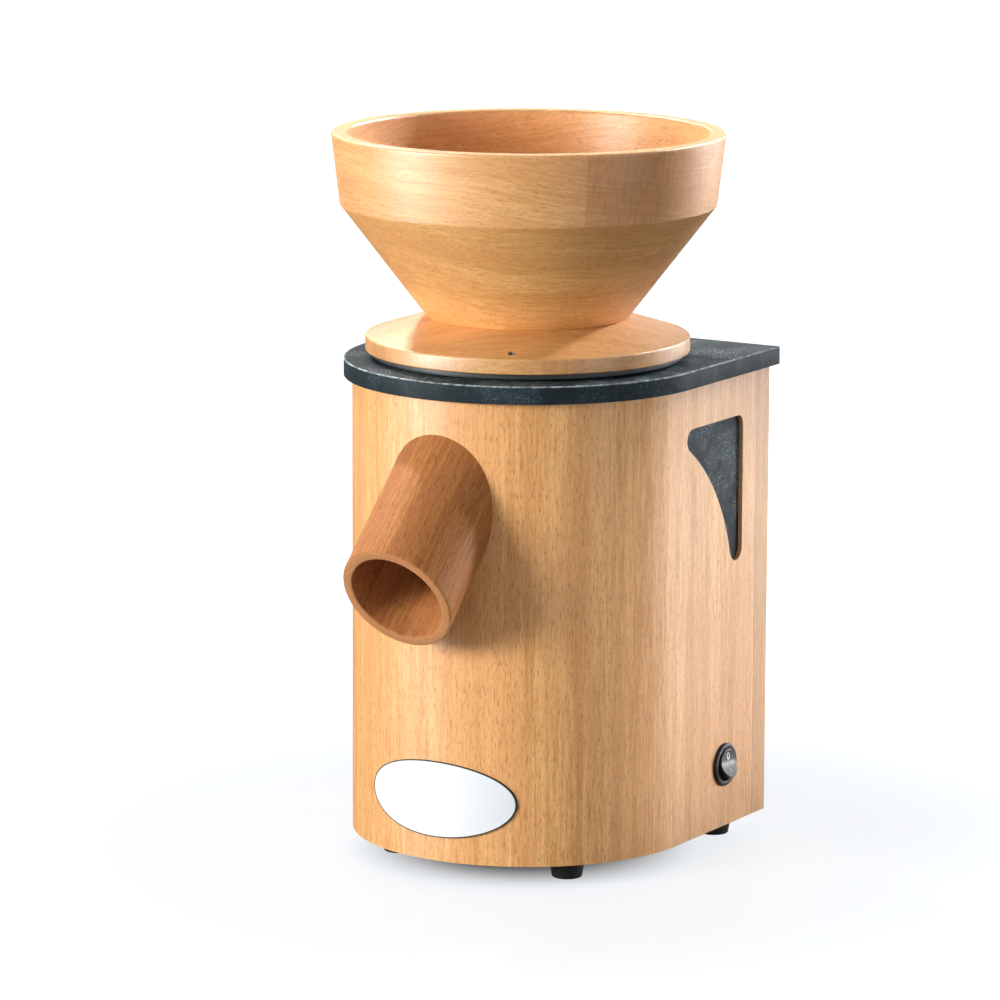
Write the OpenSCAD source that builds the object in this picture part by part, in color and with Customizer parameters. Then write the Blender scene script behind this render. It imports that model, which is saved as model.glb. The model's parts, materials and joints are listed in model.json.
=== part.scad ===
// Electric grain mill: a D-shaped beech housing under a dark composite plate, a turned
// hopper that screws the upper stone up and down, a motor-driven lower stone and a wooden
// flour spout. Sizes are in millimetres, +Z is up and the ground is at z = 0. The origin is
// midway between the spout's lip and whatever reaches furthest back.

/* [Housing] */
// Width of the wooden housing
body_w = 203; // [190:1:230]
// Height of the wooden housing, without feet and plate
body_h = 268; // [262:1:320]
// From the mill's axis to the rear face of the back panel
body_rear = 107; // [104:1:130]
// Thickness of the bent front and side wall
wall_t = 12; // [10:0.5:14]
// Thickness of the back panel
back_t = 15.5; // [12:0.5:18]
// Thickness of the bottom board
board_t = 8; // [7:0.5:12]
// Width of the wall that the bottom board covers
rabbet_w = 6; // [4:0.5:7]

/* [Top plate] */
// Thickness of the top plate
plate_t = 10.5; // [9:0.5:14]
// How far the plate stands out at the front and sides
plate_over = 5; // [3:0.5:8]
// How far the plate stands out at the rear
plate_over_rear = 4; // [3:0.5:8]

/* [Hopper] */
// Gap between the plate and the hopper base at the finest setting
hopper_gap = 4.5; // [3.5:0.5:7]
// Radius of the turned hopper base
base_r = 94; // [88:0.5:100]
// Thickness of the hopper base at its edge
base_edge_t = 8.7; // [6:0.1:12]
// Rise of the hopper base from its edge to the neck
base_rise = 11; // [8:0.5:14]
// Radius of the neck, where the bowl meets the base
neck_r = 58.5; // [52:0.5:64]
// Height of the conical part of the bowl
cone_h = 65.3; // [55:0.1:80]
// Radius of the bowl where the cone meets the upper band
kink_r = 108.7; // [100:0.1:116]
// Height of the upper band of the bowl
band_h = 41.7; // [34:0.1:52]
// Outside radius of the rim
rim_r = 113.7; // [109:0.1:120]
// Thickness of the bowl at the rim
rim_t = 9.4; // [7:0.1:12]
// Radius of the curve between the band and the cone
kink_round = 14; // [8:1:18]
// Radius of the throat that the grain falls through
throat_r = 18; // [14:0.5:20]
// Distance of the grade mark from the axis
mark_r = 86.3; // [80:0.1:90]
// Angle of the grade mark, from the front towards the right
mark_angle = 24.6; // [0:0.1:90]

/* [Spout] */
// Outside radius of the spout
spout_r = 34; // [30:0.5:36]
// Wall of the spout
spout_wall = 6; // [4.5:0.5:8]
// Slope of the spout's axis below the horizontal
spout_tilt = 44; // [42:0.5:47]
// Slope of the line square to the spout's mouth, below the horizontal
mouth_tilt = 31; // [26:0.5:36]
// From the mill's axis to the foremost lip of the spout
spout_reach = 161; // [156:1:172]
// Distance of the middle of the mouth below the plate
mouth_drop = 108; // [103:0.5:110]

/* [Side windows] */
// Width of each fin-shaped window
window_w = 67; // [60:0.5:70]
// Height of each window
window_h = 85.7; // [75:0.1:95]
// Distance of the window's top edge below the plate
window_drop = 25; // [20:0.5:32]
// Distance of the window's rear edge from the rear face
window_rear = 31.6; // [28:0.1:40]
// Radius of the front lobe
lobe_r = 6.8; // [5:0.1:8]
// Radius of the rear top corner
corner_r = 6; // [4:0.1:8]
// Radius of the bottom tip
tip_r = 7.2; // [6:0.1:8.5]
// Radius of the concave front edge
sweep_r = 116; // [95:1:150]
// Depth of the inlay below the wooden surface
inlay_depth = 2.5; // [1.5:0.5:4]

/* [Badge] */
// Length of the oval plate along the curved front
badge_l = 100; // [80:1:110]
// Height of the oval plate
badge_h = 44.5; // [36:0.5:50]
// Height of the middle of the oval plate above the ground
badge_z = 49.3; // [42:0.1:60]
// Thickness of the oval plate
badge_t = 1; // [0.6:0.1:1.6]

/* [Feet] */
// Height of the rubber feet
foot_h = 13; // [10:0.5:16]
// Radius of a foot at its top
foot_top_r = 10.5; // [9:0.25:11]
// Radius of a foot where it stands
foot_low_r = 8.7; // [7.5:0.1:9.5]
// Distance of the middle of a front foot from the housing's side
foot_front_side = 44.5; // [41.5:0.5:50]
// Distance of the front feet ahead of the axis
foot_front_y = 49; // [44:1:52]
// Distance of the middle of a rear foot from the housing's side
foot_rear_side = 22.5; // [21.5:0.5:31]
// Distance of the middle of a rear foot from the rear face
foot_rear_inset = 21; // [20.5:0.5:24]

/* [Switch] */
// Distance of the switch from the rear face
switch_rear = 50.7; // [46:0.1:56]
// Height of the switch above the ground
switch_z = 50.2; // [46:0.1:60]
// Radius of the switch's bezel
bezel_r = 12.75; // [12.3:0.05:14]
// Height of the bezel above the wood
bezel_t = 2.2; // [1.6:0.1:2.6]
// Radius of the round rocker
rocker_r = 8.7; // [8:0.1:8.9]
// Angle of the rocker to each side of the middle
rocker_tilt = 14; // [10:1:15]

/* [Milling stones] */
// Outside radius of both stones
stone_r = 45; // [40:0.5:46]
// Thickness of each stone
stone_t = 16; // [14:0.5:17]
// Gap between the stones at the finest setting
stone_gap = 0.4; // [0.3:0.1:0.6]
// Number of furrows in each stone
furrows = 10; // [6:1:14]
// Width of a furrow
furrow_w = 3; // [2:0.5:4]

/* [Milling chamber] */
// Depth of the chamber below the plate
chamber_depth = 59; // [57:1:61]
// Inside radius of the chamber, which guides the hopper's collar
chamber_r = 66; // [64:0.5:67]
// Wall of the chamber
chamber_wall = 4; // [3:0.5:4.5]
// Thickness of the chamber's floor
floor_t = 5; // [4:0.5:6]
// Outside radius of the outlet nozzle
nozzle_r = 20; // [17:0.5:21]
// Wall of the outlet nozzle
nozzle_wall = 3; // [2:0.5:3.5]

/* [Motor] */
// Width of the square stator stack
stator_w = 108; // [100:1:110]
// Height of the stator stack
stack_h = 60; // [50:1:64]
// Height of each end shield
shield_h = 42; // [38:1:44]
// Radius of the motor shaft in the bearings
shaft_r = 6; // [5:0.5:7]
// Outside radius of the ball bearings
bearing_r = 16; // [14:0.5:18]
// Radius of the rotor
rotor_r = 30; // [26:0.5:32]
// Blades of the cooling fan
fan_blades = 9; // [5:1:12]

/* [Hidden] */
$fn = 64;

// Finishes
beech = [0.87, 0.67, 0.45];
beech_dark = [0.73, 0.47, 0.29];
composite = [0.17, 0.22, 0.25];
black_plastic = [0.10, 0.10, 0.11];
rubber = [0.07, 0.07, 0.07];
steel = [0.72, 0.73, 0.75];
cast_alloy = [0.66, 0.67, 0.68];
laminate = [0.45, 0.46, 0.48];
copper = [0.72, 0.42, 0.22];
corundum = [0.84, 0.80, 0.74];
white = [0.93, 0.94, 0.95];

// Clearances
slip = 0.1;     // between glued or seated wooden pieces
run = 0.3;      // between pieces that move past each other
thread_gap = 0.05; // between a screw and its hole
cut = 1;        // how far a cutter stands past what it cuts
big = 400;      // larger than the whole object

// Heights
z_plate = foot_h + body_h;
z_plate_top = z_plate + plate_t;
z_base = z_plate_top + hopper_gap;
z_base_edge = z_base + base_edge_t;
z_neck = z_base_edge + base_rise;
z_kink = z_neck + cone_h;
z_rim = z_kink + band_h;
z_board = foot_h + board_t;

// Plan
body_r = body_w / 2;
inner_r = body_r - wall_t;
panel_y = body_rear - back_t;
plate_r = body_r + plate_over;
plate_rear = body_rear + plate_over_rear;
window_y = body_rear - window_rear;
window_z = z_plate - window_drop;
switch_y = body_rear - switch_rear;

// Spout: the mouth's middle lies on the axis, and its upper lip reaches furthest forward
mouth_y = -(spout_reach - spout_r * (sin(spout_tilt) - tan(spout_tilt - mouth_tilt) * cos(spout_tilt)));
mouth_h = z_plate - mouth_drop;
spout_l = -mouth_y / cos(spout_tilt);  // along the spout's axis, from the mouth to the milling axis
spout_bore = spout_r - spout_wall;
spout_in_r = inner_r - 3.5;  // the spout's inner end, as a radius about the mill's axis
nozzle_end_r = inner_r + 4.5;
mill_y = (spout_reach - max(plate_rear, rim_r)) / 2;  // puts the origin midway along the object

// Milling chamber, hung below the plate
z_floor = z_plate - chamber_depth;
z_floor_top = z_floor + floor_t;
chamber_out = chamber_r + chamber_wall;
chamber_flange_t = 5;
chamber_flange_r = chamber_out + 11;
chamber_screw_r = (chamber_out + chamber_flange_r) / 2;
neck_gap = 0.3;
seal_r = 14;

// Stones, from the floor upwards
sweep_gap = 2;
blade_t = 4;
hub_t = 7;
z_hub = z_floor_top + sweep_gap + blade_t;
z_stone_low = z_hub + hub_t;
z_mill = z_stone_low + stone_t;
z_stone_up = z_mill + stone_gap;
z_carrier = z_stone_up + stone_t;
carrier_t = 4;
z_thrust = z_carrier + carrier_t;
eye_r = throat_r + 0.5;
rim_wall = 4.5;
rim_h = 10;
skirt_r = chamber_r - slip;
skirt_t = 6;
carrier_r = chamber_r - 2.5;
stone_web = 6;       // thickness of the lower stone under its nut
rim_land = 8;        // flat grinding rim outside the furrows
furrow_depth = 3;
furrow_offset = 9;
stone_screw_angles = [30, 150, 270];
stone_screw_ring = (stone_r + eye_r) / 2;
stone_screw_bite = 9;

// Hub and sweeper
z_sweep = z_floor_top + sweep_gap;
hub_boss_r = shaft_r + 6;
hub_r = stone_r * 0.7;
shaft_mid_r = shaft_r + 2;
shaft_top_r = shaft_r - 1;
spigot_r = shaft_top_r + 4;
washer_t = 1.6;
nut_r = 9;
nut_h = 6;

// Guide pins and their springs
pin_r = 2;
pin_ring = (stone_r + rim_wall + chamber_r) / 2 - 0.4;
pin_angles = [90, 210, 330];
pin_seat = 8;
boss_r = 5.5;
boss_h = 16;
z_boss = z_hub + 3;
z_boss_top = z_boss + boss_h;
spring_turns = 6;
spring_wire = 0.6;
spring_r = pin_r + 1.2;

// Hopper
collar_r = base_r - 4;
collar_flange_t = 3.2;
collar_screw_ring = (skirt_r + collar_r) / 2;
collar_bolt_r = 2;
collar_head_r = 3.6;
collar_head_h = 1.8;
collar_bite = 7;
tube_wall = 3;
rib_h = 8;
bowl_wall = 10;      // at the break between cone and band
neck_in_r = neck_r - 14.5;
spigot_h = 4;
neck_in_low = neck_in_r - (kink_r - bowl_wall - neck_in_r) / cone_h * spigot_h;
spigot_bowl_r = neck_r - 6.5;
throat_h = 4;
rim_edge = 2.2;
mark_hole_r = 1.6;

// Motor, hung below the chamber
z_stack = z_floor - shield_h - stack_h;
z_motor_low = z_stack - shield_h;
shield_r = stator_w / 2;
shield_wall = 4;
cap_t = 6;
bolt_at = stator_w / 2 - 12;
bolt_r = 2.5;
bearing_t = 10;
stator_bore = rotor_r + 0.5;
winding_r = 8;
winding_ring = rotor_r + 11;
fan_r = 46;
fan_t = 2;
fan_h = 16;
fan_gap = 6;
stack_round = shield_r * sqrt(2) - 6;
bearing_seat = 4;
seal_gap = 0.05;     // between a turning shaft and what it runs in
rotor_over = 7;
winding_h = 16;
slot_l = 15;         // of the stator's winding slots
slot_w = 6;          // of the shields' air slots
slot_pitch = 12;
chamber_bolt_r = 2;
motor_screw_ring = 36;
motor_head_r = 4.5;
motor_head_h = 2.5;
z_fan = z_motor_low - fan_gap - fan_h;
z_shaft = z_fan - 2;

// Capacitor
cap_r = 14;
cap_h = 62;
cap_x = -(inner_r - cap_r - 6);
cap_y = 60;
cap_tab = [0.8, 6, 9];
cup_wall = 2;
cup_h = 16;
stud_r = 3;
stud_l = 6;

// Switch
rocker_end_r = rocker_r + 0.9;  // the rocker's ends follow this radius about its pivot
mouth_r = rocker_end_r + 0.2;
barrel_r = mouth_r + 1.2;
face_out = 3;        // from the pivot to the valley between the pressing faces
rocker_back = 4;
face_level = 1.9;    // of the pressed face, above the wood
pivot_x = body_r + face_level - face_out * cos(rocker_tilt);
switch_depth = 25;
pocket_depth = rocker_end_r * sin(rocker_tilt) + rocker_back + 1;
trunnion_r = 1.3;
trunnion_end = mouth_r + 0.8;
terminal_l = 7;
lead_r = 2.2;
lead_bend = 14;

// Inlays
inlay_bite = 6;
inlay_head_h = 1.4;

// Corner places
foot_front_x = body_r - foot_front_side;
foot_rear_x = body_r - foot_rear_side;
foot_places = [
    [-foot_front_x, -foot_front_y], [foot_front_x, -foot_front_y],
    [-foot_rear_x, body_rear - foot_rear_inset], [foot_rear_x, body_rear - foot_rear_inset]
];
rod_r = 2.5;
rod_ring = inner_r - rod_r - 2;
rod_front = 70;      // angle of the front rods from straight ahead
rod_rear_x = inner_r - 25.5;
rod_inset = 12;      // of the rear rods, from the back panel
rod_places = [
    [-rod_ring * sin(rod_front), -rod_ring * cos(rod_front)],
    [rod_ring * sin(rod_front), -rod_ring * cos(rod_front)],
    [-rod_rear_x, panel_y - rod_inset], [rod_rear_x, panel_y - rod_inset]
];
rod_bite = 7;
rod_head_r = 4.5;
rod_head_h = 4;

// The three circles of the fin window, as [y, z, radius], and the centre of its concave edge
lobe = [window_y - window_w + lobe_r, window_z - lobe_r, lobe_r];
corner = [window_y - corner_r, window_z - corner_r, corner_r];
tip = [window_y - tip_r, window_z - window_h + tip_r, tip_r];
sweep = outer_centre(lobe, tip, sweep_r);

// Centre of a circle of radius r that touches circles a and b from their lower front side
function outer_centre(a, b, r) =
    let (
        da = r + a[2],
        db = r + b[2],
        dy = b[0] - a[0],
        dz = b[1] - a[1],
        d = sqrt(dy * dy + dz * dz),
        along = (da * da - db * db + d * d) / (2 * d),
        off = sqrt(da * da - along * along)
    )
    [a[0] + along * dy / d + off * dz / d, a[1] + along * dz / d - off * dy / d];

// Points of an arc about c from angle a0 to a1, in n steps
function arc(c, r, a0, a1, n) =
    [for (i = [0 : n]) [c[0] + r * cos(a0 + (a1 - a0) * i / n), c[1] + r * sin(a0 + (a1 - a0) * i / n)]];

function heading(from, to) = atan2(to[1] - from[1], to[0] - from[0]);

// Outline of the fin window, grown by g all round
function fin_outline(g) =
    let (
        at_lobe = heading(sweep, lobe),
        at_tip = heading(sweep, tip)
    )
    concat(
        arc(lobe, lobe[2] + g, 90, at_lobe + 180, 8),
        arc(sweep, sweep_r - g, at_lobe, at_tip, 16),
        arc(tip, tip[2] + g, at_tip + 180, 360, 10),
        arc(corner, corner[2] + g, 0, 90, 6)
    );

// Outline of the housing and the plate: a half disc in front of a rectangle
module d_outline(r, rear) {
    union() {
        intersection() {
            circle(r);
            translate([-r, -r]) square([2 * r, r]);
        }
        translate([-r, 0]) square([2 * r, rear]);
    }
}

// Children are drawn about the mill's axis and set into the object's own frame
module on_mill() translate([0, mill_y, 0]) children();

// Children have +Z up the spout's axis, from the middle of the mouth into the mill
module on_spout() translate([0, mouth_y, mouth_h]) rotate([spout_tilt - 90, 0, 0]) children();

module ring(r_out, r_in, h) {
    difference() {
        cylinder(r = r_out, h = h);
        translate([0, 0, -cut]) cylinder(r = r_in, h = h + 2 * cut);
    }
}

// A screw that points up, with its head at z = 0
module screw(r, l, head_r, head_h) {
    cylinder(r = head_r, h = head_h);
    cylinder(r = r, h = head_h + l);
}

module housing_shell() {
    color(beech) on_mill() difference() {
        translate([0, 0, foot_h]) linear_extrude(body_h) d_outline(body_r, panel_y);
        translate([0, 0, foot_h - cut]) linear_extrude(body_h + 2 * cut)
            d_outline(inner_r, panel_y + cut);
        translate([0, 0, foot_h - cut]) linear_extrude(board_t + cut)
            d_outline(inner_r + rabbet_w, panel_y + cut);
        on_spout() cylinder(r = spout_r + slip, h = spout_l);
        translate([-big / 2, 0, 0]) rotate([90, 0, 90]) linear_extrude(big) polygon(fin_outline(0));
        translate([inner_r - cut, switch_y, switch_z]) rotate([0, 90, 0])
            cylinder(r = barrel_r + slip, h = wall_t + 2 * cut);
        dowel_places() cylinder(r = dowel_r + slip, h = dowel_l / 2 + slip);
        inlay_screw_axes() translate([0, 0, inner_r - cut])
            cylinder(r = inlay_screw_r + thread_gap, h = inlay_bite + cut);
    }
}

// Dowels between the side walls and the back panel
dowel_r = 3;
dowel_l = 22;
module dowel_places() {
    for (x = [-1, 1], f = [0.12, 0.5, 0.88])
        translate([x * (body_r - wall_t / 2), panel_y, foot_h + f * body_h]) rotate([90, 0, 0]) children();
}

module panel_dowels() {
    color(beech) on_mill() dowel_places() translate([0, 0, -dowel_l / 2]) cylinder(r = dowel_r, h = dowel_l);
}

// Cable bushing in the back panel
bush_x = 58;
bush_z = 42;
cable_r = 3.6;
bush_barrel_r = 6.5;
bush_flange_r = 9.5;
bush_flange_t = 3;
bush_tail = 4;

module at_bushing(y) translate([bush_x, y, bush_z]) rotate([-90, 0, 0]) children();

module back_panel() {
    color(beech) on_mill() difference() {
        translate([-body_r, panel_y, foot_h]) cube([body_w, back_t, body_h]);
        dowel_places() mirror([0, 0, 1]) cylinder(r = dowel_r + slip, h = dowel_l / 2 + slip);
        at_bushing(panel_y - cut) cylinder(r = bush_barrel_r + slip, h = back_t + 2 * cut);
    }
}

module cable_bushing() {
    color(black_plastic) on_mill() difference() {
        union() {
            at_bushing(panel_y - bush_tail) cylinder(r = bush_barrel_r, h = back_t + bush_tail);
            at_bushing(body_rear) cylinder(r1 = bush_flange_r, r2 = bush_flange_r - 1, h = bush_flange_t);
        }
        at_bushing(panel_y - bush_tail - cut) cylinder(r = cable_r, h = back_t + bush_tail + bush_flange_t + 2 * cut);
    }
}

module top_plate() {
    color(composite) on_mill() difference() {
        translate([0, 0, z_plate]) linear_extrude(plate_t) d_outline(plate_r, plate_rear);
        translate([0, 0, z_plate - cut]) cylinder(r = chamber_out + run, h = plate_t + 2 * cut);
        for (a = [45 : 90 : 315]) rotate(a) translate([chamber_screw_r, 0, z_plate - cut])
            cylinder(r = 2 + thread_gap, h = rod_bite + cut);
        for (p = rod_places) translate([p[0], p[1], z_plate - cut]) cylinder(r = rod_r + thread_gap, h = rod_bite + cut);
    }
}

// Long screws that pull the plate and the bottom board against the housing
module tie_rods() {
    color(steel) on_mill() for (p = rod_places)
        translate([p[0], p[1], foot_h + 0.5]) screw(rod_r, z_plate - foot_h - rod_head_h + rod_bite - 1, rod_head_r, rod_head_h);
}

vent_w = 5;
vent_l = 52;
vent_pitch = 12;
vents = 7;
module bottom_board() {
    color(beech_dark) on_mill() difference() {
        translate([0, 0, foot_h]) linear_extrude(board_t)
            d_outline(inner_r + rabbet_w - slip, panel_y);
        for (i = [0 : vents - 1], s = [-1, 1])
            translate([(i - (vents - 1) / 2) * vent_pitch - vent_w / 2, s > 0 ? 12 : -12 - vent_l, foot_h - cut])
                vent_slot();
        for (p = rod_places) translate([p[0], p[1], foot_h - cut]) {
            cylinder(r = rod_head_r + run, h = rod_head_h + 0.5 + cut);
            cylinder(r = rod_r + run, h = board_t + 2 * cut);
        }
        for (p = foot_places) translate([p[0], p[1], foot_h - cut]) cylinder(r = foot_screw_r + thread_gap, h = board_t - 1 + cut);
        translate([cap_x, cap_y, z_board - stud_l - slip]) cylinder(r = stud_r + slip, h = stud_l + cut);
    }
}

// A slot with round ends, upright through the board
module vent_slot() {
    translate([0, vent_w / 2, 0]) cube([vent_w, vent_l - vent_w, board_t + 2 * cut]);
    for (y = [vent_w / 2, vent_l - vent_w / 2]) translate([vent_w / 2, y, 0]) cylinder(r = vent_w / 2, h = board_t + 2 * cut);
}

foot_screw_r = 2;
foot_recess = 6;
foot_screw_head = 2.5;
module foot(i) {
    p = foot_places[i];
    color(rubber) on_mill() translate([p[0], p[1], 0]) difference() {
        rotate_extrude() polygon([
            [0, 0], [foot_low_r - 0.8, 0], [foot_low_r, 0.8],
            [foot_top_r, foot_h - 1.5], [foot_top_r, foot_h], [0, foot_h]
        ]);
        translate([0, 0, -cut]) cylinder(r = foot_screw_r + 2.2, h = foot_recess + cut);
        translate([0, 0, -cut]) cylinder(r = foot_screw_r + slip, h = foot_h + 2 * cut);
    }
}

module foot_screws() {
    color(steel) on_mill() for (p = foot_places)
        translate([p[0], p[1], foot_recess - foot_screw_head])
            screw(foot_screw_r, foot_h - foot_recess + board_t - 2, foot_screw_r + 1.8, foot_screw_head);
}

module spout() {
    color(beech_dark) on_mill() difference() {
        on_spout() translate([0, 0, -spout_r]) ring(spout_r, spout_bore, spout_r + spout_l);
        // the slanting cut of the mouth
        translate([0, mouth_y, mouth_h]) rotate([mouth_tilt - 90, 0, 0])
            translate([-big / 2, -big / 2, -big]) cube(big);
        // the inner end follows the inside of the housing
        cylinder(r = spout_in_r, h = big);
        translate([-big / 2, 0, 0]) cube(big);
    }
}

// A felt ring that closes the space between the nozzle and the spout
seal_t = 5;
module spout_seal() {
    color(white) on_mill() difference() {
        intersection() {
            on_spout() ring(spout_bore - slip, nozzle_r + slip, spout_l);
            cylinder(r = spout_in_r + seal_t, h = big);
            translate([-big / 2, -big, 0]) cube(big);
        }
        cylinder(r = spout_in_r, h = big);
    }
}

// An oval whose length is measured along the curved front
module badge_plate() {
    half = badge_l / 2;
    oval = [for (i = [0 : 59]) [
        body_r * sin(half * cos(6 * i) / body_r * 180 / PI),
        badge_h / 2 * sin(6 * i)
    ]];
    color(white) on_mill() intersection() {
        translate([0, 0, badge_z]) rotate([90, 0, 0]) linear_extrude(big) polygon(oval);
        translate([0, 0, badge_z - badge_h]) ring(body_r + badge_t, body_r, 2 * badge_h);
    }
}

inlay_back_t = 3;
inlay_lip = 6;
inlay_screw_r = 1.2;
inlay_screw_places = [
    [lobe[0] - lobe_r - 3, lobe[1]], [corner[0] + corner_r + 3, corner[1] - 20], [tip[0], tip[1] - tip_r - 3]
];
// The window's panel on one side: side is 1 at the right and -1 at the left
module inlay(side) {
    color(composite) on_mill() mirror([side < 0 ? 1 : 0, 0, 0]) difference() {
        union() {
            translate([inner_r - inlay_back_t, 0, 0]) rotate([90, 0, 90]) linear_extrude(inlay_back_t)
                polygon(fin_outline(inlay_lip));
            translate([inner_r - 1, 0, 0]) rotate([90, 0, 90]) linear_extrude(wall_t - inlay_depth + 1)
                polygon(fin_outline(-0.15));
        }
        for (p = inlay_screw_places) translate([inner_r - inlay_back_t - cut, p[0], p[1]])
            rotate([0, 90, 0]) cylinder(r = inlay_screw_r + thread_gap, h = inlay_back_t + 2 * cut);
    }
}

// Screw axes of both inlays: +Z points outwards from the object's middle plane
module inlay_screw_axes() {
    for (side = [0, 1], p = inlay_screw_places)
        mirror([side, 0, 0]) translate([0, p[0], p[1]]) rotate([0, 90, 0]) children();
}

module inlay_screws() {
    color(steel) on_mill() inlay_screw_axes() translate([0, 0, inner_r - inlay_back_t - inlay_head_h])
        screw(inlay_screw_r, inlay_back_t + inlay_bite - 0.5, inlay_screw_r + 1.1, inlay_head_h);
}

// Cup that holds the stones, with a flange under the plate and a nozzle towards the spout
module milling_chamber() {
    color(cast_alloy) on_mill() difference() {
        union() {
            translate([0, 0, z_floor]) cylinder(r = chamber_out, h = z_plate_top - z_floor);
            translate([0, 0, z_plate - chamber_flange_t]) cylinder(r = chamber_flange_r, h = chamber_flange_t);
            intersection() {
                on_spout() cylinder(r = nozzle_r, h = big / 2);
                cylinder(r = nozzle_end_r, h = big);
                translate([-big / 2, -big, 0]) cube(big);
            }
        }
        difference() {
            translate([0, 0, z_floor_top]) cylinder(r = chamber_r, h = big);
            pin_places() translate([0, 0, z_boss]) pin_boss();
        }
        // the nozzle is cut off below the floor, inside the wall
        translate([0, 0, z_floor - big]) cylinder(r = chamber_out, h = big);
        intersection() {
            on_spout() cylinder(r = nozzle_r - nozzle_wall, h = big / 2);
            translate([-big / 2, -big - pin_ring, 0]) cube(big);
        }
        translate([0, 0, z_floor - cut]) cylinder(r = seal_r, h = floor_t + 2 * cut);
        pin_places() translate([0, 0, z_boss_top - pin_seat]) cylinder(r = pin_r + thread_gap, h = pin_seat + cut);
        for (a = [45 : 90 : 315]) rotate(a) {
            translate([chamber_screw_r, 0, z_plate - chamber_flange_t - cut])
                cylinder(r = chamber_bolt_r + thread_gap, h = chamber_flange_t + 2 * cut);
            translate([motor_screw_ring, 0, z_floor - cut]) cylinder(r = bolt_r + thread_gap, h = floor_t + 2 * cut);
            translate([motor_screw_ring, 0, z_floor_top - motor_head_h])
                cylinder(r = motor_head_r + thread_gap, h = motor_head_h + cut);
        }
    }
}

module pin_places() {
    for (a = pin_angles) rotate(a) translate([pin_ring, 0, 0]) children();
}

// A boss on the chamber's wall that carries a guide pin, with its web along +X
module pin_boss() {
    cylinder(r = boss_r, h = boss_h);
    translate([0, -boss_r, 0]) cube([chamber_r, 2 * boss_r, boss_h]);
}

module chamber_screws() {
    color(steel) on_mill() for (a = [45 : 90 : 315]) rotate(a)
        translate([chamber_screw_r, 0, z_plate - chamber_flange_t - 2.5])
            screw(chamber_bolt_r, chamber_flange_t + rod_bite - 0.5, chamber_bolt_r + 1.5, 2.5);
}

module guide_pins() {
    color(steel) on_mill() pin_places() translate([0, 0, z_boss_top - pin_seat])
        cylinder(r = pin_r, h = z_thrust - 0.5 - z_boss_top + pin_seat);
}

// Springs that press the carrier up against the hopper's collar
module carrier_springs() {
    length = z_carrier - z_boss_top - 2 * spring_wire;
    turns_pts = spring_turns * 8;
    path = [for (i = [0 : turns_pts]) [
        spring_r * cos(45 * i), spring_r * sin(45 * i), z_boss_top + spring_wire + length * i / turns_pts
    ]];
    color(steel) on_mill() pin_places() tube(path, spring_wire, 6);
}

// A tube of radius r with n sides along a path; each ring lies square to the path there
module tube(path, r, n) {
    last = len(path) - 1;
    points = [for (i = [0 : last])
        let (
            ahead = path[min(i + 1, last)] - path[max(i - 1, 0)],
            w = ahead / norm(ahead),
            side = cross(w, abs(w[2]) > 0.9 ? [1, 0, 0] : [0, 0, 1]),
            u = side / norm(side),
            v = cross(w, u)
        )
        for (k = [0 : n - 1]) path[i] + r * (cos(360 * k / n) * u + sin(360 * k / n) * v)];
    sides = [for (i = [0 : last - 1], k = [0 : n - 1], half = [0, 1])
        let (a = i * n + k, b = i * n + (k + 1) % n)
        half == 0 ? [a, b, a + n] : [b, b + n, a + n]];
    near_cap = [for (k = [1 : n - 2]) [0, k + 1, k]];
    far_cap = [for (k = [1 : n - 2]) [last * n, last * n + k, last * n + k + 1]];
    polyhedron(points, concat(sides, near_cap, far_cap));
}

// Lip seal in the chamber's floor
module shaft_seal() {
    color(rubber) on_mill() translate([0, 0, z_floor]) rotate_extrude() polygon([
        [shaft_r + seal_gap, floor_t - 1.5], [shaft_r + 2, floor_t], [seal_r, floor_t],
        [seal_r, 0], [seal_r - 3, 0], [seal_r - 3, floor_t - 2.5], [shaft_r + seal_gap, floor_t - 2.5]
    ]);
}

// A square with its corners rounded by a large circle
module stack_outline() {
    intersection() {
        square(stator_w, center = true);
        circle(stack_round);
    }
}

// An end shield with its closed end at z = 0 and its open end towards the stack
module shield() {
    difference() {
        linear_extrude(shield_h) stack_outline();
        difference() {
            translate([0, 0, cap_t]) cylinder(r = shield_r - shield_wall, h = shield_h);
            cylinder(r = bearing_r + shield_wall, h = bearing_seat + bearing_t + 2);
        }
        translate([0, 0, bearing_seat]) cylinder(r = bearing_r + seal_gap, h = shield_h);
        translate([0, 0, -cut]) cylinder(r = shaft_r + 2, h = shield_h);
        for (a = [0 : 90 : 270]) rotate(a) {
            // air slots in the sides
            for (i = [-2 : 2]) translate([i * slot_pitch - slot_w / 2, 0, cap_t + slot_w])
                cube([slot_w, stator_w, shield_h - cap_t - slot_w - 10]);
            translate([bolt_at, bolt_at, -cut]) cylinder(r = bolt_r + thread_gap, h = shield_h + 2 * cut);
        }
        for (a = [45 : 90 : 315]) rotate(a) translate([motor_screw_ring, 0, -cut])
            cylinder(r = bolt_r + thread_gap, h = cap_t + 2 * cut);
    }
}

module motor_top_shield() {
    color(cast_alloy) on_mill() translate([0, 0, z_floor]) mirror([0, 0, 1]) shield();
}

module motor_bottom_shield() {
    color(cast_alloy) on_mill() translate([0, 0, z_motor_low]) shield();
}

// Countersunk from the chamber, these hold the motor under its floor
module motor_screws() {
    color(steel) on_mill() for (a = [45 : 90 : 315]) rotate(a) translate([motor_screw_ring, 0, z_floor_top])
        mirror([0, 0, 1]) screw(bolt_r, floor_t - motor_head_h + cap_t + 3, motor_head_r, motor_head_h);
}

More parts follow.
